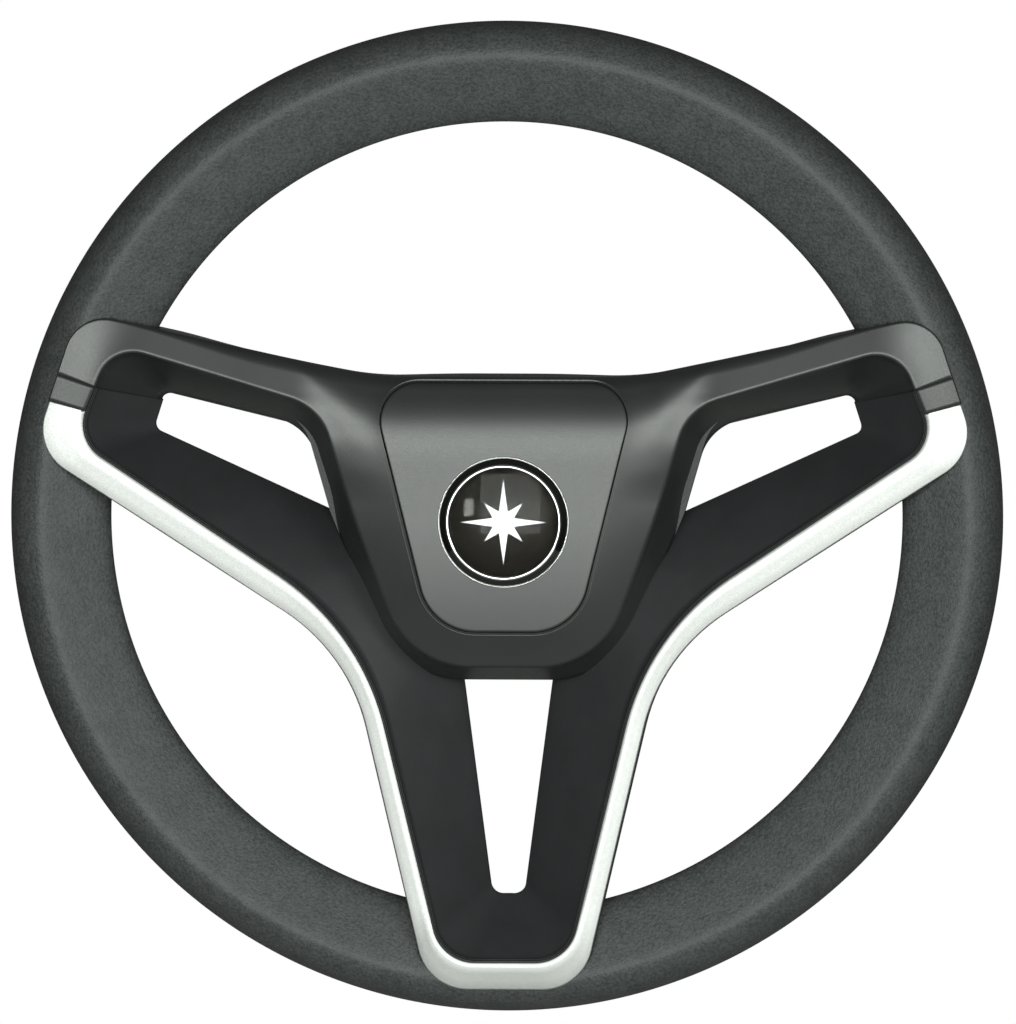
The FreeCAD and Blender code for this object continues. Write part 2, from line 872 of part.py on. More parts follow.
def roll_profile(name, inset):
    """The bowl seen from the side, set in from its face and top, as a wide solid."""
    front = at_depth(size("bowl_face_t") - inset)
    back = at_depth(size("bowl_back_t") - wall)
    top = size("bowl_top_z") - inset
    bottom = -(size("skirt_low_z") + wall)
    sketch = doc.addObject("Sketcher::SketchObject", name + "_profile")
    place(sketch, ZERO, ZERO, ZERO, SIDEWAYS)
    draw(sketch, [
        (front, bottom, None),
        (front, top, size("bowl_roll_r") - inset),
        (back, top, None),
        (back, bottom, None),
    ])
    solid = doc.addObject("Part::Extrusion", name)
    solid.Base = sketch
    solid.DirMode = "Custom"
    solid.Dir = Vector(1, 0, 0)
    solid.Solid = True
    solid.LengthFwd = CLEAR
    solid.LengthRev = CLEAR
    return solid


def make_front_cover():
    """The painted moulding: two ribbons with their skirt and recess walls, and the bowl."""
    stock = bevelled("ribbon_full", spoke_edge, size("ribbon_t"), skirt_t, size("ribbon_bevel"))
    ribbons = cut(
        "ribbons",
        common("ribbon_block", stock, upper_half),
        prism("ribbon_inside", spokes_in, -far, flange_t),
        lip_hole,
        rim_room,
    )
    upper_wall = cut(
        "ribbon_wall",
        common("ribbon_wall_full", recess_wall, upper_half),
        recess,
        prism("under_bowl", near_bowl, -far, size("bowl_back_t")),
    )
    bowl = common(
        "bowl_full",
        ruled("bowl_form", bowl_skirt, bowl_soft, bowl_face),
        roll_profile("bowl_roll", ZERO),
    )
    pad_room = size("pad_thick") + size("pad_gap")
    front_wall = pad_room + size("ledge_thick")
    thin = size("bowl_wall")
    hollow_depths = {
        "skirt": size("bowl_back_t"),
        "edge": size("bowl_edge_t") - thin,
        "face": size("bowl_face_t") - front_wall,
    }
    hollow_edges = []
    for level, t in hollow_depths.items():
        plain_edge = outline("hollow_" + level + "_outline", plain_bowl_edge(level), t)
        hollow_edges.append(moved_edge("hollow_" + level, plain_edge, -thin, sharp=True))
    hollow = common(
        "bowl_hollow",
        ruled("bowl_hollow_form", *hollow_edges),
        roll_profile("hollow_roll", front_wall),
    )
    pocket_back = size("bowl_face_t") - size("pad_drop") - size("pad_gap")
    room_edge = moved_edge("pad_room", pad_edge, size("pad_gap"))
    pocket = cut(
        "pad_pocket",
        prism("pad_pocket_full", room_edge, pocket_back, far),
        roll_profile("pocket_roll", pad_room),
    )
    mouth_edge = moved_edge("pad_ledge", pad_edge, -size("ledge_wide"))
    mouth = prism("pad_mouth", mouth_edge, ZERO, far)
    screw_tip = flange_t - wall + size("cover_screw_long")
    holes = pegs("cover_hole", cover_screw_places(), ZERO, screw_tip + gap, hole_r)
    whole = fuse("front_cover_full", ribbons, bowl, upper_wall)
    node("front_cover", cut("front_cover", whole, hollow, pocket, mouth, *holes))


def make_end_blocks():
    """The grey block at the end of each side spoke, between the two seams."""
    stock = prism("block_stock", spokes, size("pocket_floor_t") + size("rim_gap"), size("block_t"))
    inside = prism("block_inside", spokes_in, -far, flange_t + gap / 2)
    for side, word in ((1, "right"), (-1, "left")):
        name = word + "_spoke_end_block"
        edge = outline(name + "_outline", [
            seam_corners("upper", side, "in"),
            seam_corners("upper", side, "out"),
            seam_corners("lower", side, "out"),
            seam_corners("lower", side, "in"),
        ], ZERO)
        zone = prism(name + "_zone", edge, -far, far)
        block = common(name + "_full", stock, zone)
        node(name, cut(name, block, inside, lip_hole))


def make_trim():
    """The bright V strip from tip to tip, with a bevel along the recess."""
    edge = moved_edge("trim_outline", spokes, -size("trim_inset"))
    back = flange_t + gap / 2
    strip = common("trim_strip", prism("trim_full", edge, back, size("trim_t")), lower_half)
    bevel_edge = moved_edge("trim_bevel_edge", lip, size("trim_bevel"), size("trim_t"))
    node("lower_trim", cut("lower_trim", strip, ruled("trim_bevel", lip, bevel_edge)))


def leg_places():
    """Where the pad's four legs stand, each inside the ledge of the pad's pocket."""
    inset = size("ledge_wide") + size("pad_gap") + size("clip_thick") + size("leg_thick") / 2
    upper = size("pad_top_z") - inset
    lower = -(size("pad_low_z") - inset)
    return {
        "upper_right": (size("upper_leg_x"), upper),
        "upper_left": (-size("upper_leg_x"), upper),
        "lower_right": (size("lower_leg_x"), lower),
        "lower_left": (-size("lower_leg_x"), lower),
    }


def make_pad():
    """The centre pad, which follows the bowl's face and its rolled top, and its clips."""
    thick = size("pad_thick")
    face_t = size("bowl_face_t")
    sheet = cut(
        "pad_sheet",
        prism("pad_full", pad_edge, face_t - size("pad_drop"), face_t),
        roll_profile("pad_back_roll", thick),
    )
    leg_end = face_t - thick - size("leg_long")
    clip_end = leg_end + size("clip_high")
    legs = []
    clips = []
    for word, (x, z) in leg_places().items():
        wide = size("leg_wide")
        high = size("leg_thick")
        clip = size("clip_thick")
        clip_wide = wide - clip * 2
        legs.append(brick("leg_" + word, x, z, wide, high, leg_end, face_t - thick / 2))
        clips.append(cut(
            "clip_" + word,
            brick("clip_full_" + word, x, z, clip_wide, high + clip * 2, leg_end - clip, clip_end),
            brick("clip_room_" + word, x, z, wide, high, leg_end, clip_end + clip),
        ))
    stock = fuse("pad_stock", sheet, *legs)
    inside = common("pad_within_roll", stock, roll_profile("pad_roll", ZERO))
    seat_t = face_t - size("badge_seat")
    seat = peg("badge_seat", ZERO, ZERO, seat_t, far, size("badge_r") + size("badge_gap"))
    node("centre_pad", cut("centre_pad", inside, seat))
    group = doc.addObject("Part::Compound", "pad_clips")
    group.Links = clips
    node("pad_clips", group)


def make_badge():
    """The chromed ring, the black disc with its wind rose, and the clear lens."""
    seat_t = size("bowl_face_t") - size("badge_seat")
    ring_front = seat_t + size("bezel_high")
    inner = size("bezel_in_r")
    outer = size("badge_r")
    rounding = size("bezel_round")
    node("badge_bezel", turned("badge_bezel", [
        (inner, at_depth(seat_t), None),
        (outer, at_depth(seat_t), None),
        (outer, at_depth(ring_front), rounding),
        (inner, at_depth(ring_front), rounding),
    ]))
    disc_r = inner - size("badge_gap")
    disc_t = seat_t + size("disc_thick")
    node("badge_disc", peg("badge_disc", ZERO, ZERO, seat_t, disc_t, disc_r))
    points = []
    # A long point, a waist, a short point and a waist, four times round.
    reaches = [size("star_" + word) for word in ("long", "waist", "short", "waist")]
    for step in range(2 * STAR_POINTS):
        angle = math.pi * (1 / 2 - step / STAR_POINTS)
        reach = reaches[step % len(reaches)]
        points.append((reach * math.cos(angle), reach * math.sin(angle), None))
    star_t = disc_t + size("star_thick")
    star = outline("star_outline", points, disc_t)
    node("badge_star", prism("badge_star", star, disc_t, star_t))
    rim_t = star_t + size("dome_rim")
    high = size("dome_high")
    # A cap of height h and half width w belongs to a ball of radius (w^2 + h^2) / 2h.
    ball_r = (disc_r * disc_r + high * high) / (high * 2)
    ball = doc.addObject("Part::Sphere", "lens_ball")
    bind(ball, "Radius", ball_r)
    place(ball, ZERO, at_depth(rim_t + high - ball_r), ZERO)
    stock = peg("lens_stock", ZERO, ZERO, star_t, far, disc_r)
    node("badge_dome", common("badge_dome", stock, ball))


def make_rear_cover():
    """The back shell, with collars round the windows and slot, and four screw wells."""
    back = rear_t
    front = skirt_t - gap / 2
    inner_t = back + wall
    stock = common(
        "rear_stock",
        bevelled("rear_full", spoke_edge, back, front, size("rear_bevel")),
        peg("rear_disc", ZERO, ZERO, -far, far, rear_reach),
    )
    inside = common(
        "rear_inside",
        prism("rear_inside_full", spokes_in, inner_t, far),
        peg("rear_inside_disc", ZERO, ZERO, -far, far, rear_reach - wall),
    )
    collar = prism("rear_collar", moved_edge("collar_outline", window, wall), -far, far)
    spoke_space = cut("rear_spoke_space", inside, collar)
    spaces = fuse("rear_spaces", spoke_space, window_hole, recess_room)
    outside_hub = cut("rear_outside_hub", spaces, skirt_zone)
    hub_edge = moved_edge("rear_hub_outline", bowl_skirt, -wall, sharp=True)
    hub_space = prism("rear_hub_space", hub_edge, inner_t, far)
    shell = cut("rear_shell", stock, outside_hub, hub_space)
    places = rear_screw_places()
    head_room = size("head_r") + size("screw_gap") * 2
    wells = pegs("rear_well", places, back, well_floor_t, head_room + size("well_wall"))
    near = shroud_screw_places()
    shroud_screw_seat = back - size("shroud_wall")
    shroud_screw_tip = shroud_screw_seat + size("shroud_screw_long")
    nubs = pegs("rear_nub", near, back, shroud_screw_tip + wall / 2, post_r)
    tools = pegs("rear_head_room", places, -far, head_seat_t, head_room)
    tools += pegs("rear_hole", places, -far, far, hole_r)
    tools += pegs("rear_nub_hole", near, -far, shroud_screw_tip + gap, hole_r)
    hub_r = size("boss_r") + size("hub_hole_gap")
    tools.append(peg("rear_hub_hole", ZERO, ZERO, -far, far, hub_r))
    body = fuse("rear_body", shell, *nubs)
    notched = cut("rear_notched", body, *arms("notch", size("notch_gap")))
    node("rear_cover", cut("rear_cover", fuse("rear_with_wells", notched, *wells), *tools))


def make_shroud():
    """The conical cover round the boss, with a flange against the rear cover."""
    flange_front = at_depth(rear_t)
    flange_back = flange_front + size("shroud_wall")
    tail = -size("shroud_set_back")
    thin = size("shroud_wall")
    cone = turned("shroud_body", [
        (size("shroud_front_r") - thin, flange_front, None),
        (size("shroud_front_r") + flange_wide, flange_front, None),
        (size("shroud_front_r") + flange_wide, flange_back, None),
        (size("shroud_front_r"), flange_back, None),
        (size("shroud_back_r"), tail, None),
        (size("shroud_back_r") - thin, tail, None),
    ])
    holes = pegs("shroud_hole", shroud_screw_places(), -far, far, hole_r)
    node("hub_shroud", cut("hub_shroud", cone, *holes))


def screws(name, places, seat_t, length):
    """A group of pan-head screws driven from behind, with cross recesses."""
    made = []
    head_back = seat_t - size("head_high")
    point = size("screw_point")
    for key, (x, z) in places.items():
        label = name + "_" + key
        head = peg(label + "_head", x, z, head_back, seat_t, size("head_r"))
        shank_end = seat_t + length - point
        shank = peg(label + "_shank", x, z, seat_t, shank_end, size("screw_r"))
        tip = doc.addObject("Part::Cone", label + "_tip")
        bind(tip, "Radius1", size("screw_r"))
        bind(tip, "Radius2", size("screw_tip_r"))
        bind(tip, "Height", point)
        place(tip, x, at_depth(shank_end), z, FACING)
        recess_front = head_back + size("recess_deep")
        wide = size("recess_wide")
        long = size("recess_long")
        across = brick(label + "_across", x, z, long, wide, head_back - gap, recess_front)
        upright = brick(label + "_upright", x, z, wide, long, head_back - gap, recess_front)
        made.append(cut(label, fuse(label + "_full", head, shank, tip), across, upright))
    group = doc.addObject("Part::Compound", name)
    group.Links = made
    node(name, group)


make_rim()
make_armature()
make_sleeve()
make_fascia()
make_front_cover()
make_end_blocks()
make_trim()
make_pad()
make_badge()
make_rear_cover()
make_shroud()
screws("rear_cover_screws", rear_screw_places(), head_seat_t, size("screw_long"))
screws("front_cover_screws", cover_screw_places(), flange_t - wall, size("cover_screw_long"))
screws("shroud_screws", shroud_screw_places(), rear_t - size("shroud_wall"), size("shroud_screw_long"))

doc.recompute()


def check_and_write():
    """Stops on any failed object, then writes each piece to its own file."""
    for thing in doc.Objects:
        if "Invalid" in thing.State or "Error" in thing.State:
            raise RuntimeError(thing.Name + " failed: " + str(thing.State))
    os.makedirs("parts", exist_ok=True)
    for name, thing in nodes.items():
        shape = thing.Shape
        if shape.isNull() or not shape.isValid():
            raise RuntimeError(name + " has no valid shape")
        print(name, len(shape.Solids), round(shape.Volume / 1000, 2), "cm3")
    for name, thing in nodes.items():
        thing.Shape.exportStep("parts/" + name + ".step")


check_and_write()
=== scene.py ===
"""The looks of a boat steering wheel: its soft rim, painted covers, bright trim and badge.

Plan points are (x, z) in millimetres, seen from the driver's side. A depth, called t, is
counted from the rim's middle plane towards the driver, so a point lies at
(x, -(RIM_PLANE + t), z). Meshes are in metres.
"""

import json
import math

import bmesh
import bpy
import numpy as np
from mathutils import Matrix, Vector


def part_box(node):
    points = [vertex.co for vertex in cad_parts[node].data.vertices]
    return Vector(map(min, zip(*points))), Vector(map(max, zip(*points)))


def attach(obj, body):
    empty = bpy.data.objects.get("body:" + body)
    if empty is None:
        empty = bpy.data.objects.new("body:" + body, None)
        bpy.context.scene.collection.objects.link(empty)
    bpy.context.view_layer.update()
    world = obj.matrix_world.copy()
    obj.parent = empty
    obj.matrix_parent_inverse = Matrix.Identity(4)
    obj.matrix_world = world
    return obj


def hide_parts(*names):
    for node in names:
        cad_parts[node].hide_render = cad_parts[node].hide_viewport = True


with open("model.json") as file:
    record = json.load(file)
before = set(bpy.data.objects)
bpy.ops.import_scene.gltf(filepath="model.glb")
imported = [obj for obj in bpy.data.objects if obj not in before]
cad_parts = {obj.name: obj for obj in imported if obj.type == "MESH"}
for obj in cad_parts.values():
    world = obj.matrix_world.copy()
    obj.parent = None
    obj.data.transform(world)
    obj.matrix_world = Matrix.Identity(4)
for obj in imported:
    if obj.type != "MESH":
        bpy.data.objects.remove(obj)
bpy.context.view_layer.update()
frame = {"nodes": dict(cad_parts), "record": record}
nodes = frame["nodes"]

MM = 0.001


def middle_and_half(node, axis):
    """Middle and half length of a node's box along an axis, in millimetres."""
    low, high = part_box(node)
    return (low[axis] + high[axis]) / 2 / MM, (high[axis] - low[axis]) / 2 / MM


rim_middle_y, RIM_HALF_DEPTH = middle_and_half("rim_grip", 1)
RIM_PLANE = -rim_middle_y
RIM_OUTER = middle_and_half("rim_grip", 0)[1]
RIM_HALF_WIDTH = 17.8
RIM_CIRCLE = RIM_OUTER - RIM_HALF_WIDTH
BADGE_R = middle_and_half("badge_bezel", 0)[1]
BADGE_SEAT_T = -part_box("badge_bezel")[1].y / MM - RIM_PLANE
FACE_T = -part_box("centre_pad")[0].y / MM - RIM_PLANE

# Corners of the outlines on the right-hand side: x, z and corner radius.
WAIST = (45.5, 50.3, 100.0)
WING = (150.6, 72.8, 14.0)
TIP = (166.6, 24.2, 17.0)
BEND = (55.4, -47.4, 67.0)
FOOT = (27.4, -166.5, 18.0)
LIP_WING = (138.1, 61.3, 12.7)
LIP_TIP = (151.6, 28.0, 13.5)
LIP_BEND = (50.6, -39.1, 90.0)
LIP_FOOT = (22.3, -156.3, 15.0)
WINDOW_WING = (121.5, 42.8, 3.2)
WINDOW_TIP = (125.7, 29.5, 3.5)
WINDOW_BEND = (21.1, -18.2, 12.0)
SLOT_END = (6.0, -135.2, 4.6)
EDGE_CORNER = (65.5, 40.0, 20.0)
EDGE_SIDE = (53.8, 1.0, 200.0)
EDGE_LOW = (34.2, -52.5, 32.0)
SKIRT_CORNER = (71.2, 30.8, 18.0)
SKIRT_SIDE = (62.4, 1.0, 200.0)
SKIRT_LOW = (38.0, -58.0, 34.0)
PAD_TOP = (47.1, 48.4, 13.0)
PAD_LOW = (25.5, -39.0, 20.0)

# The two seam lines at the end of each side spoke, as z at x = 130 and at x = 170.
SEAM_X = (130.0, 170.0)
UPPER_SEAM_Z = (41.6, 55.4)
LOWER_SEAM_Z = (32.7, 44.2)
SEAM_GAP = 0.1
# How far down its short side the window's outline is taken up by the lower pieces.
WINDOW_SHARE = 0.22

# Depths and edge sizes of the front pieces.
FLANGE_T = 13.5
WINDOW_T = -11.0
SKIRT_T = -2.0
BOWL_BACK_T = -1.5
HUB_LIP_T = 23.7
LIP_T = 21.0
WING_LIP_T = 18.4
TRIM_LIP_T = 16.9
RIBBON_SLOPE = 0.34
SIDE_LIP_T = 20.7
SHOULDER_T = 16.5
TOP_TILT = 0.62
TOP_BAND = 6.8
TOP_BAND_RUN = 25.0
EDGE_ROLL_R = 4.2
WING_ROLL_R = 0.5
INNER_EDGE_R = 1.5
PAD_EDGE_R = 0.5
FACE_CROWN = 0.0012
PAD_GAP = 0.28
PAD_DEEP = 4.0
POCKET_STEPS = (0.0, 0.04, 0.3, PAD_DEEP)
SHELL_WALL = 1.0
TOP_DRAFT = 1.5
WING_DRAFT_LOSS = 0.8
REAR_DRAFT = 0.13
REAR_STEP = 0.2

# Where a value of the painted cover changes: from none to all of it, in x or in z.
ROLL_X = (136, 84)
BAND_X = (78, 44)
TILT_X = (136, 100)
HUB_LIP_X = (110, 74)
WING_LIP_X = (100, 162)
SHOULDER_Z = (-62, 8)
HUB_LIP_Z = (6, 30)
HOLLOW_Z = (16, 34)
SLOPE_X = (161, 126)
RIBBON_X = (54, 76)
RIBBON_Z = (30, 46)
DRAFT_X = (10, 78)
WING_DRAFT_X = (88, 118)
BOWL_WALL_Z = (12.0, -10.0)
REAR_EDGE_GAP = (8, 4)

# Where the ribbons meet the hub: on the soft edge, on the top edge and on the wall's foot.
RIBBON_END = (78.0, 43.7)
HUB_TOP_X = 62.0
HUB_WALL_X = 84.0

# The bright strip and the end blocks. The strip leans back more at its foot, and is
# raised there by a share of what the lean adds, so that its outer edge stays above the grip.
TRIM_FALL = 1.4
TRIM_BACK_T = FLANGE_T + 0.1
TRIM_ROLL_R = 0.5
TRIM_BEVEL = 1.7
TRIM_INSET = 0.3
FOOT_LEAN = 0.8
FOOT_Z = (-138, -162)
LEAN_RAISE = 0.9
BLOCK_LIP_T = 17.8
BLOCK_FALL = 0.5
BLOCK_BACK_T = 7.8
BLOCK_BEVEL = 1.4

# Rows of the black moulding: depths of its skirt, then offsets and depths along its section.
SKIRT_ROWS = (SKIRT_T, 4.0, 12.9, 13.2)
FLANGE_ROWS = ((0.3, 13.45), (0.6, FLANGE_T))
LIP_ROWS = (
    (-0.25, FLANGE_T), (-0.25, 14.6), (-0.15, 14.9), (0.05, 15.0), (0.25, 14.8), (0.4, 14.2))
WINDOW_ROWS = ((0.35, WINDOW_T - 0.35), (0.45, WINDOW_T - 0.9), (0.45, WINDOW_T - 4.0))

# The badge.
LENS_R = 19.3
LENS_HIGH = 2.4
# Painted reflection: between these radii the badge ring's colour is made dark, standing in for the
# dark surroundings that its sloping face would mirror.
PAINTED_REFLECTION_INNER_R = 20.45
PAINTED_REFLECTION_OUTER_R = 22.6
RING_LIP = 1.5
RING_TOP = 3.0
RING_GAP = 0.1
DISC_THICK = 1.2
ROSE_THICK = 0.15
LENS_BACK_LIFT = 0.05
LENS_RIM_LIFT = 0.2
ROSE_LONG = 15.0
ROSE_SHORT = 9.5
ROSE_WAIST = 4.0

# The corners that draw the grip's oval: outwards from its middle, then forwards.
RIM_CORNERS = (
    (18.6, -2.0), (18.0, 5.0), (15.2, 11.2), (10.8, 14.6), (7.6, 16.0), (5.0, 15.8), (-0.5, 13.5),
    (-6.8, 10.6), (-12.8, 7.7), (-17.4, 4.6), (-18.6, 1.5), (-17.2, -6.0), (-12.6, -11.9),
    (-6.6, -15.2), (0.0, -16.4), (6.6, -15.2), (12.6, -11.9), (17.2, -8.0),
)
# Points round the wheel and round the section.
RIM_POINTS = (900, 112)
# How the grip passes under the covers: its greatest depth there, its distance below the
# recess walls, and how far inside the spokes' outline it starts to be drawn in.
UNDER_COVER_T = 7.4
UNDER_RECESS = 3.2
UNDER_EDGE = 1.2
HALVINGS = 9
LIP_MIDDLE_Z = 20.8
WINDOW_MIDDLE_Z = 13.0


def unit(vector):
    """A vector of length one."""
    return vector / np.linalg.norm(vector)


def ease(low, high, value):
    """A smooth step from 0 at low to 1 at high: 3 q squared - 2 q cubed."""
    q = np.clip((value - low) / (high - low), 0.0, 1.0)
    return q * q * (3 - 2 * q)


def meet(first, second, seam_z):
    """The point where the side from first to second crosses a seam line."""
    slope = (seam_z[1] - seam_z[0]) / (SEAM_X[1] - SEAM_X[0])
    a, b = np.array(first[:2]), np.array(second[:2])
    gap_a = a[1] - seam_z[0] - slope * (a[0] - SEAM_X[0])
    gap_b = b[1] - seam_z[0] - slope * (b[0] - SEAM_X[0])
    return tuple(a + (b - a) * gap_a / (gap_a - gap_b))


def rounded_path(corners, legs, arc=14):
    """Plan points along an open path of straight legs joined by tangent arcs.

    An arc's centre lies on the bisector of its corner, r / sin(half the angle) away, and
    its points turn evenly from the end of one leg to the start of the next.
    """
    plan = [np.array(c[:2], float) for c in corners]
    pieces = []
    here = plan[0]
    for i in range(1, len(plan) - 1):
        radius = corners[i][2]
        back, ahead = unit(plan[i - 1] - plan[i]), unit(plan[i + 1] - plan[i])
        half = math.acos(np.clip(back @ ahead, -1, 1)) / 2
        start = plan[i] + back * radius / math.tan(half)
        stop = plan[i] + ahead * radius / math.tan(half)
        centre = plan[i] + unit(back + ahead) * radius / math.sin(half)
        sweep = math.pi - 2 * half
        along = np.linspace(0, 1, legs[i - 1], endpoint=False)[:, None]
        pieces.append(here + (start - here) * along)
        turn = np.linspace(0, 1, arc, endpoint=False)[:, None]
        first, last = np.sin((1 - turn) * sweep), np.sin(turn * sweep)
        bow = first * (start - centre) + last * (stop - centre)
        pieces.append(centre + bow / math.sin(sweep))
        here = stop
    pieces.append(here + (plan[-1] - here) * np.linspace(0, 1, legs[-1] + 1)[:, None])
    return np.vstack(pieces)


def both_sides(path):
    """A right-hand path that ends on the centre line, with its mirror image added."""
    return np.vstack([path, (path[:-1] * (-1, 1))[::-1]])


def distance(path, x, z):
    """Shortest distance from plan points to a path of straight pieces."""
    a, b = path[:-1], path[1:]
    run = b - a
    size = np.maximum((run ** 2).sum(1), 1e-12)
    best = np.full(x.shape, np.inf)
    for start, way, square in zip(a, run, size):
        q = np.clip(((x - start[0]) * way[0] + (z - start[1]) * way[1]) / square, 0, 1)
        gap = np.hypot(x - start[0] - q * way[0], z - start[1] - q * way[1])
        best = np.minimum(best, gap)
    return best


def nearest(path, points):
    """The nearest place on a path for each plan point."""
    a, b = path[:-1], path[1:]
    run = (b - a)[None]
    q = ((points[:, None] - a) * run).sum(2) / np.maximum((run ** 2).sum(2), 1e-12)
    places = a + np.clip(q, 0, 1)[..., None] * run
    best = ((points[:, None] - places) ** 2).sum(2).argmin(1)
    return places[np.arange(len(points)), best]


def inside(loop, x, z):
    """True for plan points inside a closed loop: a line to the right crosses it oddly."""
    odd = np.zeros(x.shape, bool)
    for (xa, za), (xb, zb) in zip(loop, np.roll(loop, -1, axis=0)):
        if za == zb:
            continue
        crosses = (za > z) != (zb > z)
        odd ^= crosses & (x < xa + (z - za) * (xb - xa) / (zb - za))
    return odd


def place(x, t, z):
    """Points in metres from plan places and depths."""
    x, t, z = np.broadcast_arrays(x, t, z)
    return np.stack([x, -(RIM_PLANE + t), z], axis=-1) * MM


def grid_faces(rows, columns, start, close_rows, close_columns):
    """Four-sided faces of a grid whose points are numbered row by row."""
    last_row = rows if close_rows else rows - 1
    last_column = columns if close_columns else columns - 1
    i, j = np.meshgrid(np.arange(last_row), np.arange(last_column), indexing="ij")
    i2, j2 = (i + 1) % rows, (j + 1) % columns
    corners = [i * columns + j, i2 * columns + j, i2 * columns + j2, i * columns + j2]
    return np.stack(corners, axis=-1).reshape(-1, 4) + start


def piece(name, grids, slot, replaced, close_rows=False, close_columns=False, caps=False, wall=0.0):
    """A piece of the wheel from one or more grids of points.

    Grids that share an edge are welded, the faces are turned outwards, the ends of a
    closed section are capped, and an open shell gets its wall on the hidden side.
    """
    points, faces, start = [], [], 0
    for grid in grids:
        rows, columns = grid.shape[:2]
        points.append(grid.reshape(-1, 3))
        faces += grid_faces(rows, columns, start, close_rows, close_columns).tolist()
        if caps:
            faces.append([start + k for k in range(columns)][::-1])
            faces.append([start + (rows - 1) * columns + k for k in range(columns)])
        start += rows * columns
    mesh = bpy.data.meshes.new(name)
    mesh.from_pydata(np.vstack(points).tolist(), [], faces)
    shell = bmesh.new()
    shell.from_mesh(mesh)
    bmesh.ops.remove_doubles(shell, verts=shell.verts, dist=2e-6)
    bmesh.ops.dissolve_degenerate(shell, dist=1e-7, edges=shell.edges)
    bmesh.ops.recalc_face_normals(shell, faces=shell.faces)
    if wall:
        facing = sum(f.normal.y * f.calc_area() for f in shell.faces)
        if facing > 0:
            bmesh.ops.reverse_faces(shell, faces=shell.faces)
    shell.to_mesh(mesh)
    shell.free()
    mesh.shade_smooth()
    thing = bpy.data.objects.new(name, mesh)
    bpy.context.scene.collection.objects.link(thing)
    if wall:
        thick = thing.modifiers.new("wall", "SOLIDIFY")
        thick.thickness = wall * MM
        thick.offset = -1
    finish_piece(thing, slot, *replaced)
    return thing


def finish_piece(thing, slot, *replaced):
    """Gives a piece its finish and its body, and hides the nodes that it stands for."""
    thing.data.materials.clear()
    thing.data.materials.append(finishes[slot])
    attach(thing, "root")
    if replaced:
        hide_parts(*replaced)


# Finishes.

def new_finish(name, **sockets):
    """A Principled material with its plain sockets set, and the nodes to build on."""
    material = bpy.data.materials.new(name)
    material.use_nodes = True
    tree = material.node_tree
    shader = tree.nodes["Principled BSDF"]
    for socket, value in sockets.items():
        shader.inputs[socket.replace("_", " ")].default_value = value
    return material, tree, shader


def grain(tree, scale, detail=3.0, rough=0.5):
    """Noise on the object's own coordinates; scale is in bumps per metre."""
    spot = tree.nodes.new("ShaderNodeTexCoord")
    noise = tree.nodes.new("ShaderNodeTexNoise")
    noise.inputs["Scale"].default_value = scale
    noise.inputs["Detail"].default_value = detail
    noise.inputs["Roughness"].default_value = rough
    tree.links.new(spot.outputs["Object"], noise.inputs["Vector"])
    return noise


def shift(tree, source, low, high, to_low, to_high):
    """Maps a value from one range to another."""
    node = tree.nodes.new("ShaderNodeMapRange")
    node.inputs["From Min"].default_value = low
    node.inputs["From Max"].default_value = high
    node.inputs["To Min"].default_value = to_low
    node.inputs["To Max"].default_value = to_high
    tree.links.new(source, node.inputs["Value"])
    return node.outputs["Result"]


def tint(tree, source, dark, light):
    """A colour between two colours, chosen by a value from 0 to 1."""
    mix = tree.nodes.new("ShaderNodeMix")
    mix.data_type = "RGBA"
    mix.inputs["A"].default_value = (*dark, 1)
    mix.inputs["B"].default_value = (*light, 1)
    tree.links.new(source, mix.inputs["Factor"])
    return mix.outputs["Result"]


def bump(tree, shader, height, depth):
    """Raises a surface by a height pattern; depth is in metres."""
    node = tree.nodes.new("ShaderNodeBump")
    node.inputs["Strength"].default_value = 1.0
    node.inputs["Distance"].default_value = depth
    tree.links.new(height, node.inputs["Height"])
    tree.links.new(node.outputs["Normal"], shader.inputs["Normal"])


def mottled(name, dark, light, patch, fine, depth, rough, spread=0.05, **sockets):
    """A finish whose colour drifts in patches, with a fine grain in height and roughness."""
    material, tree, shader = new_finish(name, **sockets)
    patches = grain(tree, patch)
    specks = grain(tree, fine, 2.0)
    tree.links.new(tint(tree, shift(tree, patches.outputs["Fac"], 0.3, 0.7, 0, 1), dark, light),
                   shader.inputs["Base Color"])
    tree.links.new(shift(tree, specks.outputs["Fac"], 0.3, 0.7, rough - spread, rough + spread),
                   shader.inputs["Roughness"])
    bump(tree, shader, specks.outputs["Fac"], depth)
    return material


def rim_skin():
    """Soft dark skin with a fine sandy grain and slightly lighter specks."""
    material, tree, shader = new_finish("rim_skin", Specular_IOR_Level=0.4)
    sand = grain(tree, 900, 3.0, 0.7)
    cloud = grain(tree, 130, 4.0, 0.6)
    mixed = tree.nodes.new("ShaderNodeMix")
    mixed.inputs["Factor"].default_value = 0.25
    tree.links.new(sand.outputs["Fac"], mixed.inputs["A"])
    tree.links.new(cloud.outputs["Fac"], mixed.inputs["B"])
    fac = shift(tree, mixed.outputs["Result"], 0.38, 0.62, 0, 1)
    tree.links.new(tint(tree, fac, (0.022, 0.025, 0.025), (0.052, 0.056, 0.055)),
                   shader.inputs["Base Color"])
    tree.links.new(shift(tree, sand.outputs["Fac"], 0.3, 0.7, 0.46, 0.58),
                   shader.inputs["Roughness"])
    bump(tree, shader, sand.outputs["Fac"], 0.0003)
    return material


def clear_lens():
    """Clear domed plastic over the badge."""
    material, tree, shader = new_finish(
        "clear_lens", Transmission_Weight=1.0, IOR=1.15,
        Base_Color=(1.0, 1.0, 1.0, 1.0))
    haze = grain(tree, 60)
    tree.links.new(shift(tree, haze.outputs["Fac"], 0.3, 0.7, 0.01, 0.03),
                   shader.inputs["Roughness"])
    return material


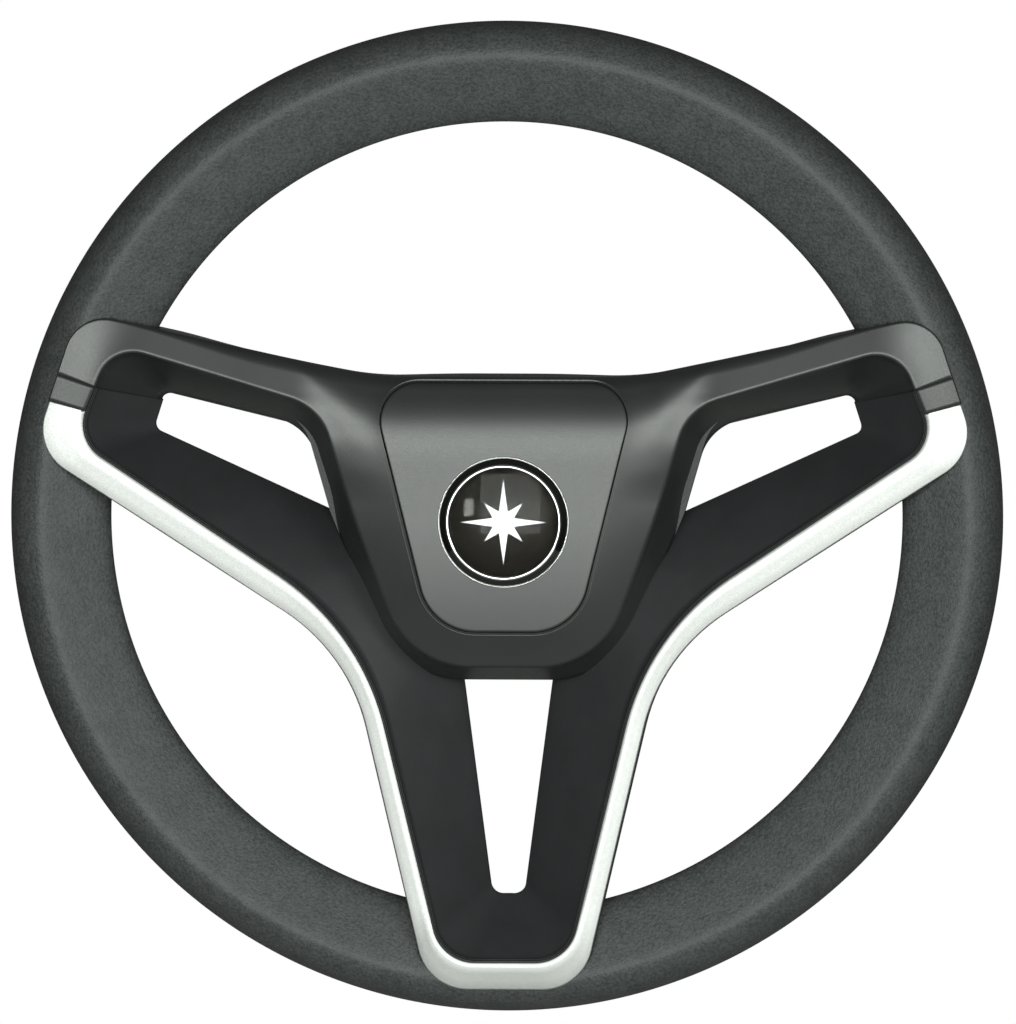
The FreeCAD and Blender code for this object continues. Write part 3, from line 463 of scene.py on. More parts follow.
def ring_chrome():
    """Bright chrome, with a painted dark reflection: a dark band of colour between two radii round
    the shaft axis, on the ring's sloping face.
    """
    material = mottled("bright_chrome", (0.80, 0.81, 0.82), (0.84, 0.85, 0.86), 50, 400,
                       0.000002, 0.07, 0.02, Metallic=1.0)
    tree = material.node_tree
    colour = tree.nodes["Principled BSDF"].inputs["Base Color"]
    bright = colour.links[0].from_socket
    spot = tree.nodes.new("ShaderNodeTexCoord")
    flat = tree.nodes.new("ShaderNodeVectorMath")
    flat.operation = "MULTIPLY"
    flat.inputs[1].default_value = (1, 0, 1)
    tree.links.new(spot.outputs["Object"], flat.inputs[0])
    reach = tree.nodes.new("ShaderNodeVectorMath")
    reach.operation = "LENGTH"
    tree.links.new(flat.outputs["Vector"], reach.inputs[0])
    radius = reach.outputs["Value"]
    band = tree.nodes.new("ShaderNodeMath")
    band.operation = "MULTIPLY"
    low, high, soft = PAINTED_REFLECTION_INNER_R * MM, PAINTED_REFLECTION_OUTER_R * MM, 0.0001
    tree.links.new(shift(tree, radius, low - soft, low, 0, 1), band.inputs[0])
    tree.links.new(shift(tree, radius, high, high + soft, 1, 0), band.inputs[1])
    # Painted reflection: the chrome's colour turns dark between the two radii, in place of a
    # mirrored dark surrounding.
    mix = tree.nodes.new("ShaderNodeMix")
    mix.data_type = "RGBA"
    mix.inputs["B"].default_value = (0.06, 0.06, 0.055, 1)
    tree.links.new(band.outputs["Value"], mix.inputs["Factor"])
    tree.links.new(bright, mix.inputs["A"])
    tree.links.new(mix.outputs["Result"], colour)
    return material


PAINT = (0.0145, 0.0165, 0.0158), (0.0175, 0.0195, 0.0187)
finishes = {
    "rim_skin": rim_skin(),
    "grey_paint": mottled("grey_paint", *PAINT, 40, 2600, 0.00002, 0.38, Specular_IOR_Level=0.6),
    "grey_block": mottled("grey_block", *PAINT, 40, 2600, 0.00002, 0.40, Specular_IOR_Level=0.5),
    "pad_skin": mottled("pad_skin", *PAINT, 30, 2600, 0.00002, 0.38, Specular_IOR_Level=0.6),
    "satin_silver": mottled("satin_silver", (0.485, 0.49, 0.48), (0.51, 0.515, 0.505), 700, 1800,
                            0.00001, 0.55, Metallic=1.0),
    "black_moulding": mottled("black_moulding", (0.0165, 0.0172, 0.0184), (0.0205, 0.0215, 0.023),
                              60, 2200, 0.00004, 0.52, Specular_IOR_Level=0.4),
    "bright_chrome": ring_chrome(),
    "gloss_black": mottled("gloss_black", (0.011, 0.010, 0.008), (0.015, 0.014, 0.011), 50, 400,
                           0.000002, 0.3, 0.02, Specular_IOR_Level=0.1),
    "white_print": mottled("white_print", (0.78, 0.79, 0.80), (0.86, 0.86, 0.86), 200, 2000,
                           0.00001, 0.45),
    "steel": mottled("steel", (0.42, 0.43, 0.44), (0.55, 0.56, 0.57), 300, 1500,
                     0.00002, 0.32, Metallic=1.0),
    "cast_alloy": mottled("cast_alloy", (0.48, 0.49, 0.49), (0.58, 0.59, 0.59), 250, 900,
                          0.0001, 0.55, Metallic=1.0),
    "clear_lens": clear_lens(),
}

for entry in frame["record"]["subparts"]:
    solid = nodes[entry["node"]]
    solid.data.materials.clear()
    solid.data.materials.append(finishes[entry["material_slot"]])

# Paths. Each runs from the right-hand seam round to the left-hand one, or starts on the centre.
seam_outer = meet(WING, TIP, UPPER_SEAM_Z)
seam_lip = meet(LIP_WING, LIP_TIP, UPPER_SEAM_Z)
low_seam_outer = meet(WING, TIP, LOWER_SEAM_Z)
low_seam_lip = meet(LIP_WING, LIP_TIP, LOWER_SEAM_Z)
window_start = tuple(a + WINDOW_SHARE * (b - a) for a, b in zip(WINDOW_WING[:2], WINDOW_TIP[:2]))


def centre_of(corner):
    """The place on the centre line level with a corner."""
    return (0.0, corner[1])


def lower_paths():
    """Outer, lip and window paths below the upper seam, with as many points each."""
    legs = (10, 40, 60, 8)
    return (
        both_sides(rounded_path([seam_outer, TIP, BEND, FOOT, centre_of(FOOT)], legs)),
        both_sides(rounded_path(
            [seam_lip, LIP_TIP, LIP_BEND, LIP_FOOT, centre_of(LIP_FOOT)], legs)),
        both_sides(rounded_path(
            [window_start, WINDOW_TIP, WINDOW_BEND, SLOT_END, centre_of(SLOT_END)], legs)),
    )


def spoke_loop():
    """The closed outer outline of the three spokes."""
    right = rounded_path(
        [centre_of(WAIST), WAIST, WING, TIP, BEND, FOOT, centre_of(FOOT)], (4, 20, 12, 20, 20, 4))
    return np.vstack([right, (right[1:-1] * (-1, 1))[::-1]])


TOP_PATH = both_sides(rounded_path(
    [seam_outer, WING, WAIST, centre_of(WAIST)], (10, 50, 24), 20))
EDGE_PATH = both_sides(rounded_path(
    [seam_lip, LIP_WING, EDGE_CORNER, EDGE_SIDE, EDGE_LOW, centre_of(EDGE_LOW)],
    (10, 50, 14, 20, 16), 20))
PAD_PATH = both_sides(rounded_path(
    [centre_of(PAD_TOP), PAD_TOP, PAD_LOW, centre_of(PAD_LOW)], (24, 50, 16), 24))
PAD_LOOP = PAD_PATH[:-1]


def outside_pad(x, z):
    """Distance outside the pad's outline; inside it the value is negative."""
    ends = np.roll(PAD_LOOP, -1, axis=0)
    best = np.full(x.shape, -np.inf)
    for (xa, za), (xb, zb) in zip(PAD_LOOP, ends):
        length = math.hypot(xb - xa, zb - za)
        if length > 1e-9:
            best = np.maximum(best, ((x - xa) * (za - zb) + (z - za) * (xb - xa)) / length)
    return best


def round_over(gap, radius):
    """How far a rounded edge falls at a distance in from it: r - sqrt(r2 - (r - gap)2)."""
    reach = np.clip(radius - gap, 0, radius)
    return radius - np.sqrt(np.maximum(radius ** 2 - reach ** 2, 0))


def top_fall(gap, x):
    """How far the front falls back near its top edge.

    The edge itself is rounded. Below it lies a band that leans back by TOP_TILT, wide over
    the hub and gone on the wings, and it runs out as (1 - q) cubed.
    """
    side = np.abs(x)
    radius = WING_ROLL_R + (EDGE_ROLL_R - WING_ROLL_R) * ease(*ROLL_X, side)
    hub = ease(*BAND_X, side)
    band, run = TOP_BAND * hub, 1.0 + (TOP_BAND_RUN - 1.0) * hub
    curve = run * (1 - np.clip((gap - band) / run, 0, 1)) ** 3 / 3
    tilt = TOP_TILT * ease(*TILT_X, side)
    return tilt * (np.maximum(band - gap, 0) + curve) + round_over(gap, radius)


def face_depth(z):
    """Depth of the hub's face, which falls back towards its lower end as z squared."""
    return FACE_T - FACE_CROWN * np.minimum(z, 0) ** 2


def lip_depth(x, z):
    """Depth along the cover's soft lower edge: ribbon, then the hub's side and bottom."""
    side = np.abs(x)
    along = LIP_T + (HUB_LIP_T - LIP_T) * ease(*HUB_LIP_X, side)
    along = along + (WING_LIP_T - LIP_T) * ease(*WING_LIP_X, side)
    low = SHOULDER_T + (SIDE_LIP_T - SHOULDER_T) * ease(*SHOULDER_Z, z)
    return low + (along - SIDE_LIP_T) * ease(*HUB_LIP_Z, z)


def cover_depth(x, z):
    """Depth of the painted cover's front.

    The bowl falls from the pad's outline to the soft edge, evenly below and in a hollow
    curve at the upper corners. Each ribbon rises from its top edge to its lower one. The
    two blend near the hub, and both edges are rounded.
    """
    outside = np.maximum(outside_pad(x, z), 0)
    to_edge = distance(EDGE_PATH, x, z)
    lip = lip_depth(x, z)
    near = to_edge / np.maximum(outside + to_edge, 1e-6)
    bowl = lip + (face_depth(z) - lip) * near ** (1 + ease(*HOLLOW_Z, z))
    ribbon = lip - RIBBON_SLOPE * ease(*SLOPE_X, np.abs(x)) * to_edge
    share = ease(*RIBBON_X, np.abs(x)) * ease(*RIBBON_Z, z)
    front = bowl * (1 - share) + ribbon * share
    to_top = distance(TOP_PATH, x, z)
    return front - top_fall(to_top, x) - round_over(to_edge, INNER_EDGE_R)


def rows_between(start, end, shares):
    """Plan points on the lines between two paths, one row of points for each share."""
    return start[:, None] + (end - start)[:, None] * np.asarray(shares)[None, :, None]


def steps(count):
    """Shares from 0 to 1, packed closely at both ends."""
    q = np.linspace(0, 1, count)
    return q * q * (3 - 2 * q)


def drawn_in(points, by):
    """Plan points moved square to the spokes' outline, towards its inside."""
    loop = spoke_loop()
    ends = np.roll(loop, -1, axis=0)
    run = ends - loop
    long = np.linalg.norm(run, axis=1)
    loop, run = loop[long > 1e-6], run[long > 1e-6]
    q = ((points[:, None] - loop) * run).sum(2) / (run ** 2).sum(1)
    places = loop + np.clip(q, 0, 1)[..., None] * run
    side = ((points[:, None] - places) ** 2).sum(2).argmin(1)
    inward = np.stack([run[side, 1], -run[side, 0]], axis=-1)
    inward = inward / np.linalg.norm(inward, axis=1)[:, None]
    return points + inward * np.reshape(by, (-1, 1))


def make_rear_cover():
    """The rear moulding: the node's own shape, drawn in towards its back like any moulding."""
    mesh = nodes["rear_cover"].data.copy()
    mesh.name = "black_rear_cover"
    spots = np.empty(len(mesh.vertices) * 3)
    mesh.vertices.foreach_get("co", spots)
    spots = spots.reshape(-1, 3) / MM
    plan, t = spots[:, [0, 2]], -spots[:, 1] - RIM_PLANE
    loop = spoke_loop()
    gap = distance(np.vstack([loop, loop[:1]]), plan[:, 0], plan[:, 1])
    by = TOP_DRAFT + REAR_STEP + REAR_DRAFT * np.maximum(SKIRT_T - t, 0)
    plan = drawn_in(plan, by * ease(*REAR_EDGE_GAP, gap))
    spots[:, 0], spots[:, 2] = plan[:, 0], plan[:, 1]
    mesh.vertices.foreach_set("co", (spots * MM).ravel())
    mesh.update()
    thing = bpy.data.objects.new("black_rear_cover", mesh)
    bpy.context.scene.collection.objects.link(thing)
    finish_piece(thing, "black_moulding", "rear_cover")


def make_cover():
    """The painted moulding: two ribbons, the bowl and the upper walls of the recess.

    The ribbons are lines between the top path and the edge path. The bowl is a ring of
    lines from its outer edge in to the pad's pocket. Walls hang from both edges.
    """
    ribbon_legs = (8, 60)
    top = rounded_path([seam_outer, WING, WAIST], ribbon_legs, 20)
    edge = rounded_path([seam_lip, LIP_WING, EDGE_CORNER], ribbon_legs, 20)
    edge_x = nearest(EDGE_PATH, np.array([RIBBON_END]))[0][0]
    count = min((top[:, 0] > HUB_TOP_X).sum(), (edge[:, 0] > edge_x).sum())
    blend = np.linspace(0, 1, count)

    def resample(path, limit):
        """A path cut off at x = limit, with its points evenly renumbered."""
        kept = path[path[:, 0] > limit]
        end = nearest(path, np.array([[limit, np.interp(-limit, -path[:, 0], path[:, 1])]]))
        kept = np.vstack([kept, end])
        old = np.linspace(0, 1, len(kept))
        return np.stack([np.interp(blend, old, kept[:, k]) for k in (0, 1)], axis=-1)

    top, edge = resample(top, HUB_TOP_X), resample(edge, edge_x)
    low = rounded_path([window_start, WINDOW_WING, SKIRT_CORNER], ribbon_legs, 20)
    low = resample(low, HUB_WALL_X)
    plan = rows_between(top, edge, steps(34))
    front = place(plan[..., 0], cover_depth(plan[..., 0], plan[..., 1]), plan[..., 1])
    joint = plan[-1]

    hub_legs = (1, 14, 26, 16)
    hub_edge = rounded_path(
        [joint[-1], EDGE_CORNER, EDGE_SIDE, EDGE_LOW, centre_of(EDGE_LOW)], hub_legs, 20)
    hub_low = rounded_path(
        [low[-1], SKIRT_CORNER, SKIRT_SIDE, SKIRT_LOW, centre_of(SKIRT_LOW)], hub_legs, 20)
    top_x = np.linspace(0, joint[0, 0], 30, endpoint=False)
    half_top = TOP_PATH[: len(TOP_PATH) // 2 + 1][::-1]
    top_z = np.interp(top_x, half_top[:, 0], half_top[:, 1])
    hub_top = np.stack([top_x, top_z], axis=-1)
    outer = np.vstack([hub_top, joint, hub_edge[1:]])
    inner = nearest(np.vstack([PAD_PATH, PAD_PATH[:1]]), outer)
    away = outer - inner
    inner = inner + PAD_GAP * away / np.linalg.norm(away, axis=1)[:, None]
    x, z = np.moveaxis(rows_between(outer, inner, steps(40)), -1, 0)
    ring = place(x, cover_depth(x, z), z)
    pocket_t = cover_depth(inner[:, 0], inner[:, 1])[:, None] - np.array(POCKET_STEPS)
    pocket = place(inner[:, :1], pocket_t, inner[:, 1:])

    def wall(upper, lower, lower_t, rows):
        """Straight lines from an edge of the front down to a lower path."""
        upper_t = cover_depth(upper[:, 0], upper[:, 1])[:, None]
        q = np.linspace(0, 1, rows)
        line = rows_between(upper, lower, q)
        t = upper_t + (np.asarray(lower_t).reshape(-1, 1) - upper_t) * q
        return place(line[..., 0], t, line[..., 1])

    def low_depth(points):
        """The wall reaches the window's back edge, and less deep under the bowl."""
        return WINDOW_T + (BOWL_BACK_T - WINDOW_T) * ease(*BOWL_WALL_Z, points[:, 1])

    def top_wall(path):
        """The wall behind the top edge leans in most on the middle of each ribbon."""
        side = path[:, 0]
        lean = TOP_DRAFT * ease(*DRAFT_X, side)
        lean = lean * (1 - WING_DRAFT_LOSS * ease(*WING_DRAFT_X, side))
        return wall(path, drawn_in(path, lean), SKIRT_T, 4)

    top_edge = np.vstack([hub_top, joint[:1]])
    parts = [
        front, ring, pocket,
        top_wall(top), top_wall(top_edge),
        wall(edge, low, WINDOW_T, 10),
        wall(hub_edge, hub_low, low_depth(hub_low), 10),
    ]
    mirrored = [part * (-1, 1, 1) for part in parts]
    return piece("painted_front_cover", parts + mirrored, "grey_paint", ["front_cover"],
                 wall=SHELL_WALL)


def make_pad():
    """The centre pad: lines from its outline in to the middle, with rounded edges."""
    middle = np.array([0.0, 2.0])
    shares = np.linspace(0, 1, 34) ** 1.6
    plan = rows_between(PAD_LOOP, np.broadcast_to(middle, PAD_LOOP.shape), shares)
    x, z = plan[..., 0], plan[..., 1]
    edge_gap = np.maximum(-outside_pad(x, z), 0)
    depth = face_depth(z) - top_fall(distance(TOP_PATH, x, z), x)
    depth = depth - round_over(edge_gap, PAD_EDGE_R)
    front = place(x, depth, z)
    back = place(x, depth[:, :1] - PAD_DEEP, z)[:, ::-1]
    back[:, -1] = place(x, depth - PAD_DEEP, z)[:, 0]
    grid = np.concatenate([back, front], axis=1)
    return piece("hub_centre_pad", [grid], "pad_skin", ["centre_pad"], close_rows=True)


def sweep(name, outer, inner, section, slot, replaced, lean=1.0):
    """A closed section carried along two paths and capped at both ends.

    A section point is (share, offset, depth, fall). Its place is the outer path plus its
    share of the way to the inner path, moved inwards by the offset. Its depth lessens from
    the inner path by the fall, times the lean that each path point has.
    """
    across = inner - outer
    width = np.linalg.norm(across, axis=1)[:, None]
    share, offset, depth, fall = section.T
    q = share + offset / width
    plan = outer[:, None] + across[:, None] * q[..., None]
    more = np.reshape(lean, (-1, 1)) - 1
    t = depth - fall * ((1 + more) * (1 - q) - LEAN_RAISE * more)
    grid = place(plan[..., 0], t, plan[..., 1])
    return piece(name, [grid], slot, replaced, close_columns=True, caps=True)


def face_section(lip_t, fall, back_t, outer_r, bevel, inset):
    """Section of a strip: a back, a rounded outer edge, a sloping face and an inner bevel."""
    rows = [(0, inset, back_t, 0)]
    for a in np.linspace(0, math.pi / 2, 6):
        inwards, down = outer_r * (1 - math.cos(a)), outer_r * (1 - math.sin(a))
        rows.append((0, inset + inwards, lip_t - down, fall))
    return np.array(rows + [
        (0.35, 0, lip_t, fall), (0.6, 0, lip_t, fall),
        (1, -bevel - 0.2, lip_t, fall), (1, -bevel, lip_t - 0.05, fall),
        (1, -0.45, lip_t - 0.4, fall), (1, -0.3, lip_t - 0.6, fall),
        (1, -0.3, back_t + 0.5, 0), (1, -0.3, back_t, 0),
    ])


def make_trim():
    """The bright strip from tip to tip along the recess."""
    legs = (8, 50, 70, 8)
    gap = np.array([0, -SEAM_GAP / 2])
    outer = both_sides(rounded_path(
        [low_seam_outer + gap, TIP, BEND, FOOT, centre_of(FOOT)], legs, 20))
    lip = both_sides(rounded_path(
        [low_seam_lip + gap, LIP_TIP, LIP_BEND, LIP_FOOT, centre_of(LIP_FOOT)], legs, 20))
    section = face_section(TRIM_LIP_T, TRIM_FALL, TRIM_BACK_T, TRIM_ROLL_R, TRIM_BEVEL, TRIM_INSET)
    lean = 1 + FOOT_LEAN * ease(*FOOT_Z, outer[:, 1])
    return sweep("bright_lower_trim", outer, lip, section, "satin_silver", ["lower_trim"], lean)


def make_blocks():
    """The grey block between the two seams at the end of each side spoke."""
    gap = np.array([0, SEAM_GAP / 2])
    q = np.linspace(0, 1, 8)[:, None]
    outer = (np.array(seam_outer) - gap) * (1 - q) + (np.array(low_seam_outer) + gap) * q
    lip = (np.array(seam_lip) - gap) * (1 - q) + (np.array(low_seam_lip) + gap) * q
    section = face_section(BLOCK_LIP_T, BLOCK_FALL, BLOCK_BACK_T, WING_ROLL_R, BLOCK_BEVEL, 0)
    for side, word in ((1, "right"), (-1, "left")):
        name = word + "_spoke_end_block"
        sweep(word + "_grey_end_block", outer * (side, 1), lip * (side, 1), section,
              "grey_block", [name])


def make_fascia():
    """The black moulding: an outer skirt, a lip bead, the recess walls and the window edges.

    Every section point lies on the line from the outer path to the lip path, or on the
    one from the lip path to the window path.
    """
    outer, lip, window = lower_paths()
    q = np.linspace(0, 1, 14)
    inwards = lip - outer
    inwards = inwards / np.linalg.norm(inwards, axis=1)[:, None]
    down = window - lip
    down = down / np.linalg.norm(down, axis=1)[:, None]

    def rows_along(path, way, rows):
        """Rows of points beside a path, from their offsets along the way and their depths."""
        plans = [(path + way * offset, t) for offset, t in rows]
        return np.stack([place(p[:, 0], t, p[:, 1]) for p, t in plans], axis=1)

    wall_plan = rows_between(lip, window, q)
    wall_t = FLANGE_T + (WINDOW_T - FLANGE_T) * q
    wall_rows = place(wall_plan[..., 0], wall_t, wall_plan[..., 1])
    grid = np.concatenate([
        rows_along(outer, inwards, [(0.0, t) for t in SKIRT_ROWS]),
        rows_along(outer, inwards, FLANGE_ROWS), rows_along(lip, inwards, LIP_ROWS),
        wall_rows, rows_along(window, down, WINDOW_ROWS),
    ], axis=1)
    return piece("black_spoke_fascia", [grid], "black_moulding", ["spoke_fascia"],
                 wall=SHELL_WALL)


def closed_curve(corners, count):
    """A smooth closed curve drawn by corner points: the uniform cubic B-spline."""
    corners = np.array(corners, float)
    u = np.arange(count) * len(corners) / count
    i, f = u.astype(int), (u % 1)[:, None]
    weights = (
        (1 - f) ** 3, 3 * f ** 3 - 6 * f ** 2 + 4, -3 * f ** 3 + 3 * f ** 2 + 3 * f + 1, f ** 3)
    return sum(w * corners[(i + k - 1) % len(corners)] for k, w in enumerate(weights)) / 6


def rim_section(count):
    """Cross section of the grip as offsets from its middle: outwards, then forwards.

    It is an oval with a soft ridge at its front, outside the middle, and a flatter thumb
    side inside it. Its greatest width and depth are those of the grip.
    """
    curve = closed_curve(RIM_CORNERS, count)
    out, front = curve[:, 0], curve[:, 1]
    out = out * RIM_HALF_WIDTH / np.abs(out).max()
    front = np.where(front > 0, front / front.max(), front / -front.min()) * RIM_HALF_DEPTH
    return out, front


def make_rim():
    """The soft grip: its section carried round a circle and sunk under the spoke covers.

    Under the covers a point is drawn towards the section's centre until it lies below
    the covers' inner room, which is found by halving.
    """
    around, across = RIM_POINTS
    out, front = rim_section(across)
    angle = np.linspace(0, 2 * np.pi, around, endpoint=False)[:, None]
    loop = spoke_loop()
    _, lip, window = lower_paths()
    lip_loop, window_loop = (
        np.vstack([path, [(-wing[0], wing[1]), (0, middle_z), wing[:2]]])
        for path, wing, middle_z in (
            (lip, LIP_WING, LIP_MIDDLE_Z), (window, WINDOW_WING, WINDOW_MIDDLE_Z)))
    closed = [np.vstack([path, path[:1]]) for path in (loop, lip_loop, window_loop)]

    def room(x, z):
        """The greatest depth that the grip may have at a plan place."""
        to_lip = np.where(inside(lip_loop, x, z), distance(closed[1], x, z), 0)
        to_window = np.where(inside(window_loop, x, z), 0, distance(closed[2], x, z))
        share = to_window / np.maximum(to_window + to_lip, 1e-6)
        recess = WINDOW_T + (FLANGE_T - WINDOW_T) * share - UNDER_RECESS
        return np.where(to_lip > 0, np.minimum(recess, UNDER_COVER_T), UNDER_COVER_T)

    radius = RIM_CIRCLE + out[None]
    x, z = radius * np.sin(angle), radius * np.cos(angle)
    deep = inside(loop, x, z) & (distance(closed[0], x, z) > UNDER_EDGE)
    rows, columns = np.nonzero(deep)
    turn = angle[rows, 0]
    low, high = np.zeros(len(rows)), np.ones(len(rows))
    for _ in range(HALVINGS):
        middle = (low + high) / 2
        r = RIM_CIRCLE + out[columns] * middle
        fits = front[columns] * middle <= room(r * np.sin(turn), r * np.cos(turn))
        low, high = np.where(fits, middle, low), np.where(fits, high, middle)
    shrink = np.ones(x.shape)
    shrink[rows, columns] = low
    radius = RIM_CIRCLE + out[None] * shrink
    grid = place(radius * np.sin(angle), front[None] * shrink, radius * np.cos(angle))
    return piece("soft_rim_grip", [grid], "rim_skin", ["rim_grip"],
                 close_rows=True, close_columns=True)


def turned(name, profile, slot, replaced, ring):
    """A round piece: a profile of (radius, depth) points carried round the shaft axis."""
    profile = np.array(profile, float)
    turn = np.linspace(0, 2 * np.pi, 160, endpoint=False)[:, None]
    radius, depth = profile[None, :, 0], profile[None, :, 1]
    grid = place(radius * np.sin(turn), depth, radius * np.cos(turn))
    return piece(name, [grid], slot, replaced, close_rows=True, close_columns=ring)


def make_badge():
    """The badge: a chromed ring, a black disc, a white eight-pointed rose and a clear lens."""
    outer, inner = BADGE_R, LENS_R + RING_GAP
    seat, lip, top = BADGE_SEAT_T, BADGE_SEAT_T + RING_LIP, BADGE_SEAT_T + RING_TOP
    corners = [
        (inner, seat, 0), (outer, seat, 0.1), (outer, lip - 0.25, 0.05),
        (outer - 0.2, lip, 0.03), (outer - 0.25, lip, 0.03), (outer - 0.45, lip - 0.3, 0.04),
        (inner + 0.9, top - 0.4, 0.1), (inner + 0.5, top, 0.1), (inner + 0.3, top, 0.1),
        (inner, top - 0.15, 0.04), (inner, seat, 0),
    ]
    turned("chromed_badge_ring", rounded_path(corners, (2, 3, 2, 2, 2, 8, 3, 2, 2, 3), 6)[:-1],
           "bright_chrome", ["badge_bezel"], True)
    disc_t = seat + DISC_THICK
    turned("black_badge_disc", [(0, seat), (LENS_R, seat), (LENS_R, disc_t), (0, disc_t)],
           "gloss_black", ["badge_disc"], False)
    rose_t = disc_t + ROSE_THICK
    turn = np.linspace(0, 2 * np.pi, 16, endpoint=False)
    reach = np.array([ROSE_LONG, ROSE_WAIST, ROSE_SHORT, ROSE_WAIST] * 4)
    tips = np.stack([reach * np.sin(turn), reach * np.cos(turn)], axis=-1)
    share = np.linspace(0, 1, 8, endpoint=False)[:, None]
    loop = np.vstack([a + (b - a) * share for a, b in zip(tips, np.roll(tips, -1, axis=0))])
    rays = np.append(np.linspace(0, 1, 8), [1.0])[None, :, None]
    plan = loop[:, None] * rays
    depth = np.append(np.full(8, rose_t), [disc_t])[None]
    piece("white_wind_rose", [place(plan[..., 0], depth, plan[..., 1])], "white_print",
          ["badge_star"], close_rows=True)
    back, rim_t = rose_t + LENS_BACK_LIFT, rose_t + LENS_RIM_LIFT
    ball = (LENS_R ** 2 + LENS_HIGH ** 2) / (2 * LENS_HIGH)
    angle = np.linspace(math.asin(LENS_R / ball), 0, 24)
    cap = np.stack([ball * np.sin(angle), rim_t + LENS_HIGH - ball * (1 - np.cos(angle))], axis=-1)
    cap[-1, 0] = 0.0
    profile = np.vstack([[(0, back), (LENS_R, back)], cap])
    turned("clear_badge_lens", profile, "clear_lens", ["badge_dome"], False)


make_rim()
make_cover()
make_rear_cover()
make_pad()
make_trim()
make_blocks()
make_fascia()
make_badge()

# Camera: the photograph's frame is 1016 by 1024, seen a little from the right and above.
PICTURE = (1016, 1024)
VIEW_AZIMUTH = math.radians(2.7)
VIEW_ELEVATION = math.radians(4.8)
VIEW_DISTANCE = 15.0
FOCAL_PIXELS = 42560.0
CENTRE_PIXEL = (506.9, 516.1)
SENSOR_HIGH = 36.0
CLIP_END = 60.0


def make_camera():
    """A long lens far away, so that the wheel's middle falls on its pixel."""
    back = Vector((
        math.sin(VIEW_AZIMUTH) * math.cos(VIEW_ELEVATION),
        -math.cos(VIEW_AZIMUTH) * math.cos(VIEW_ELEVATION),
        math.sin(VIEW_ELEVATION),
    ))
    right = Vector((math.cos(VIEW_AZIMUTH), math.sin(VIEW_AZIMUTH), 0))
    up = back.cross(right)
    step = VIEW_DISTANCE / FOCAL_PIXELS
    aim = Vector((0, -RIM_PLANE * MM, 0))
    aim += right * (PICTURE[0] / 2 - CENTRE_PIXEL[0]) * step
    aim -= up * (PICTURE[1] / 2 - CENTRE_PIXEL[1]) * step
    data = bpy.data.cameras.new("camera")
    data.sensor_fit = "VERTICAL"
    data.sensor_height = SENSOR_HIGH
    data.lens = SENSOR_HIGH * FOCAL_PIXELS / PICTURE[1]
    data.clip_end = CLIP_END
    camera = bpy.data.objects.new("camera", data)
    turned_to = Matrix((right, up, back)).transposed().to_4x4()
    camera.matrix_world = Matrix.Translation(aim + back * VIEW_DISTANCE) @ turned_to
    bpy.context.scene.collection.objects.link(camera)
    bpy.context.scene.camera = camera


# Soft boxes: their azimuth, elevation and distance, their width and height, and their watts.
LAMPS = {
    "front_box": ((1, 5, 2.3), (1.25, 1.25), 43),
    "right_box": ((36, 5, 2.0), (0.8, 0.9), 15),
    "window_box": ((-20, 3, 2.2), (0.18, 0.32), 9),
}
LAMP_COLOUR = (0.955, 1.0, 0.965)


def toward(azimuth, elevation, far):
    """A point at a distance from the wheel, by its angles from the driver's side."""
    a, e = math.radians(azimuth), math.radians(elevation)
    return Vector((math.sin(a) * math.cos(e), -math.cos(a) * math.cos(e), math.sin(e))) * far


def make_lamp(name, spot, size, power):
    """A soft box that faces the wheel."""
    data = bpy.data.lights.new(name, "AREA")
    data.shape = "RECTANGLE"
    data.size, data.size_y = size
    data.energy = power
    data.color = LAMP_COLOUR
    lamp = bpy.data.objects.new(name, data)
    lamp.location = spot
    lamp.rotation_euler = (-spot).to_track_quat("-Z", "Y").to_euler()
    bpy.context.scene.collection.objects.link(lamp)


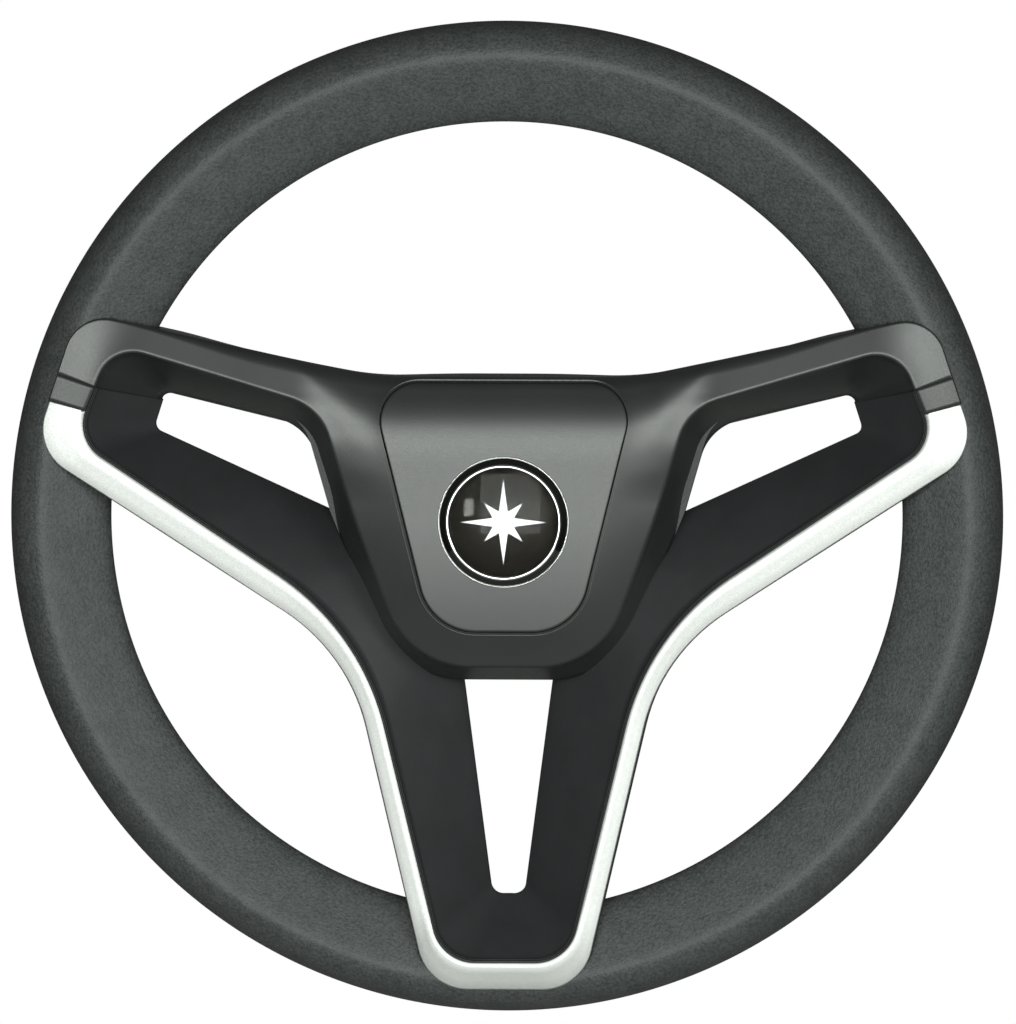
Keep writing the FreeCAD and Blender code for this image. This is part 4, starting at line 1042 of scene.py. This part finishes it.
def make_world():
    """A white background, with a dim grey studio for what the surfaces see.

    The studio is brightest behind the camera and above. Mirrored rays see the white only in
    a narrow cone straight behind the wheel.
    """
    world = bpy.data.worlds.new("studio")
    bpy.context.scene.world = world
    world.use_nodes = True
    tree = world.node_tree
    tree.nodes.clear()
    rays = tree.nodes.new("ShaderNodeLightPath")
    spot = tree.nodes.new("ShaderNodeTexCoord")
    axis = tree.nodes.new("ShaderNodeSeparateXYZ")
    tree.links.new(spot.outputs["Generated"], axis.inputs["Vector"])
    behind = shift(tree, axis.outputs["Y"], 0.998, 0.9995, 0, 1)

    def math_node(operation, first, second):
        """The result of one operation on two values."""
        node = tree.nodes.new("ShaderNodeMath")
        node.operation = operation
        tree.links.new(first, node.inputs[0])
        tree.links.new(second, node.inputs[1])
        return node.outputs["Value"]

    seen = math_node("MAXIMUM", rays.outputs["Is Camera Ray"], rays.outputs["Is Transmission Ray"])
    seen = math_node("MAXIMUM", seen, math_node("MULTIPLY", rays.outputs["Is Glossy Ray"], behind))
    studio = tree.nodes.new("ShaderNodeBackground")
    studio.inputs["Color"].default_value = (0.98, 1.0, 0.97, 1)
    level = math_node("MULTIPLY", shift(tree, axis.outputs["Y"], -1.0, -0.3, 0.28, 0.09),
                      shift(tree, axis.outputs["Z"], -0.7, 0.2, 0.4, 1.1))
    tree.links.new(level, studio.inputs["Strength"])
    white = tree.nodes.new("ShaderNodeBackground")
    white.inputs["Color"].default_value = (1, 1, 1, 1)
    mix = tree.nodes.new("ShaderNodeMixShader")
    output = tree.nodes.new("ShaderNodeOutputWorld")
    tree.links.new(seen, mix.inputs[0])
    tree.links.new(studio.outputs[0], mix.inputs[1])
    tree.links.new(white.outputs[0], mix.inputs[2])
    tree.links.new(mix.outputs[0], output.inputs["Surface"])


FLOOR_Z = -0.45
FLOOR_R = 0.85
FLOOR_SIDES = 96


def make_floor():
    """A plain pale disc below the wheel."""
    turn = np.linspace(0, 2 * np.pi, FLOOR_SIDES, endpoint=False)
    edge = np.stack([FLOOR_R * np.cos(turn), FLOOR_R * np.sin(turn), 0 * turn + FLOOR_Z], axis=-1)
    mesh = bpy.data.meshes.new("floor")
    mesh.from_pydata(edge.tolist(), [], [list(range(FLOOR_SIDES))])
    floor = bpy.data.objects.new("floor", mesh)
    bpy.context.scene.collection.objects.link(floor)
    material, _, _ = new_finish("floor", Base_Color=(0.62, 0.62, 0.61, 1), Roughness=0.9)
    mesh.materials.append(material)


make_camera()
make_world()
make_floor()
for lamp_name, (spot, size, power) in LAMPS.items():
    make_lamp(lamp_name, toward(*spot), size, power)
bpy.context.scene.view_settings.view_transform = "Standard"
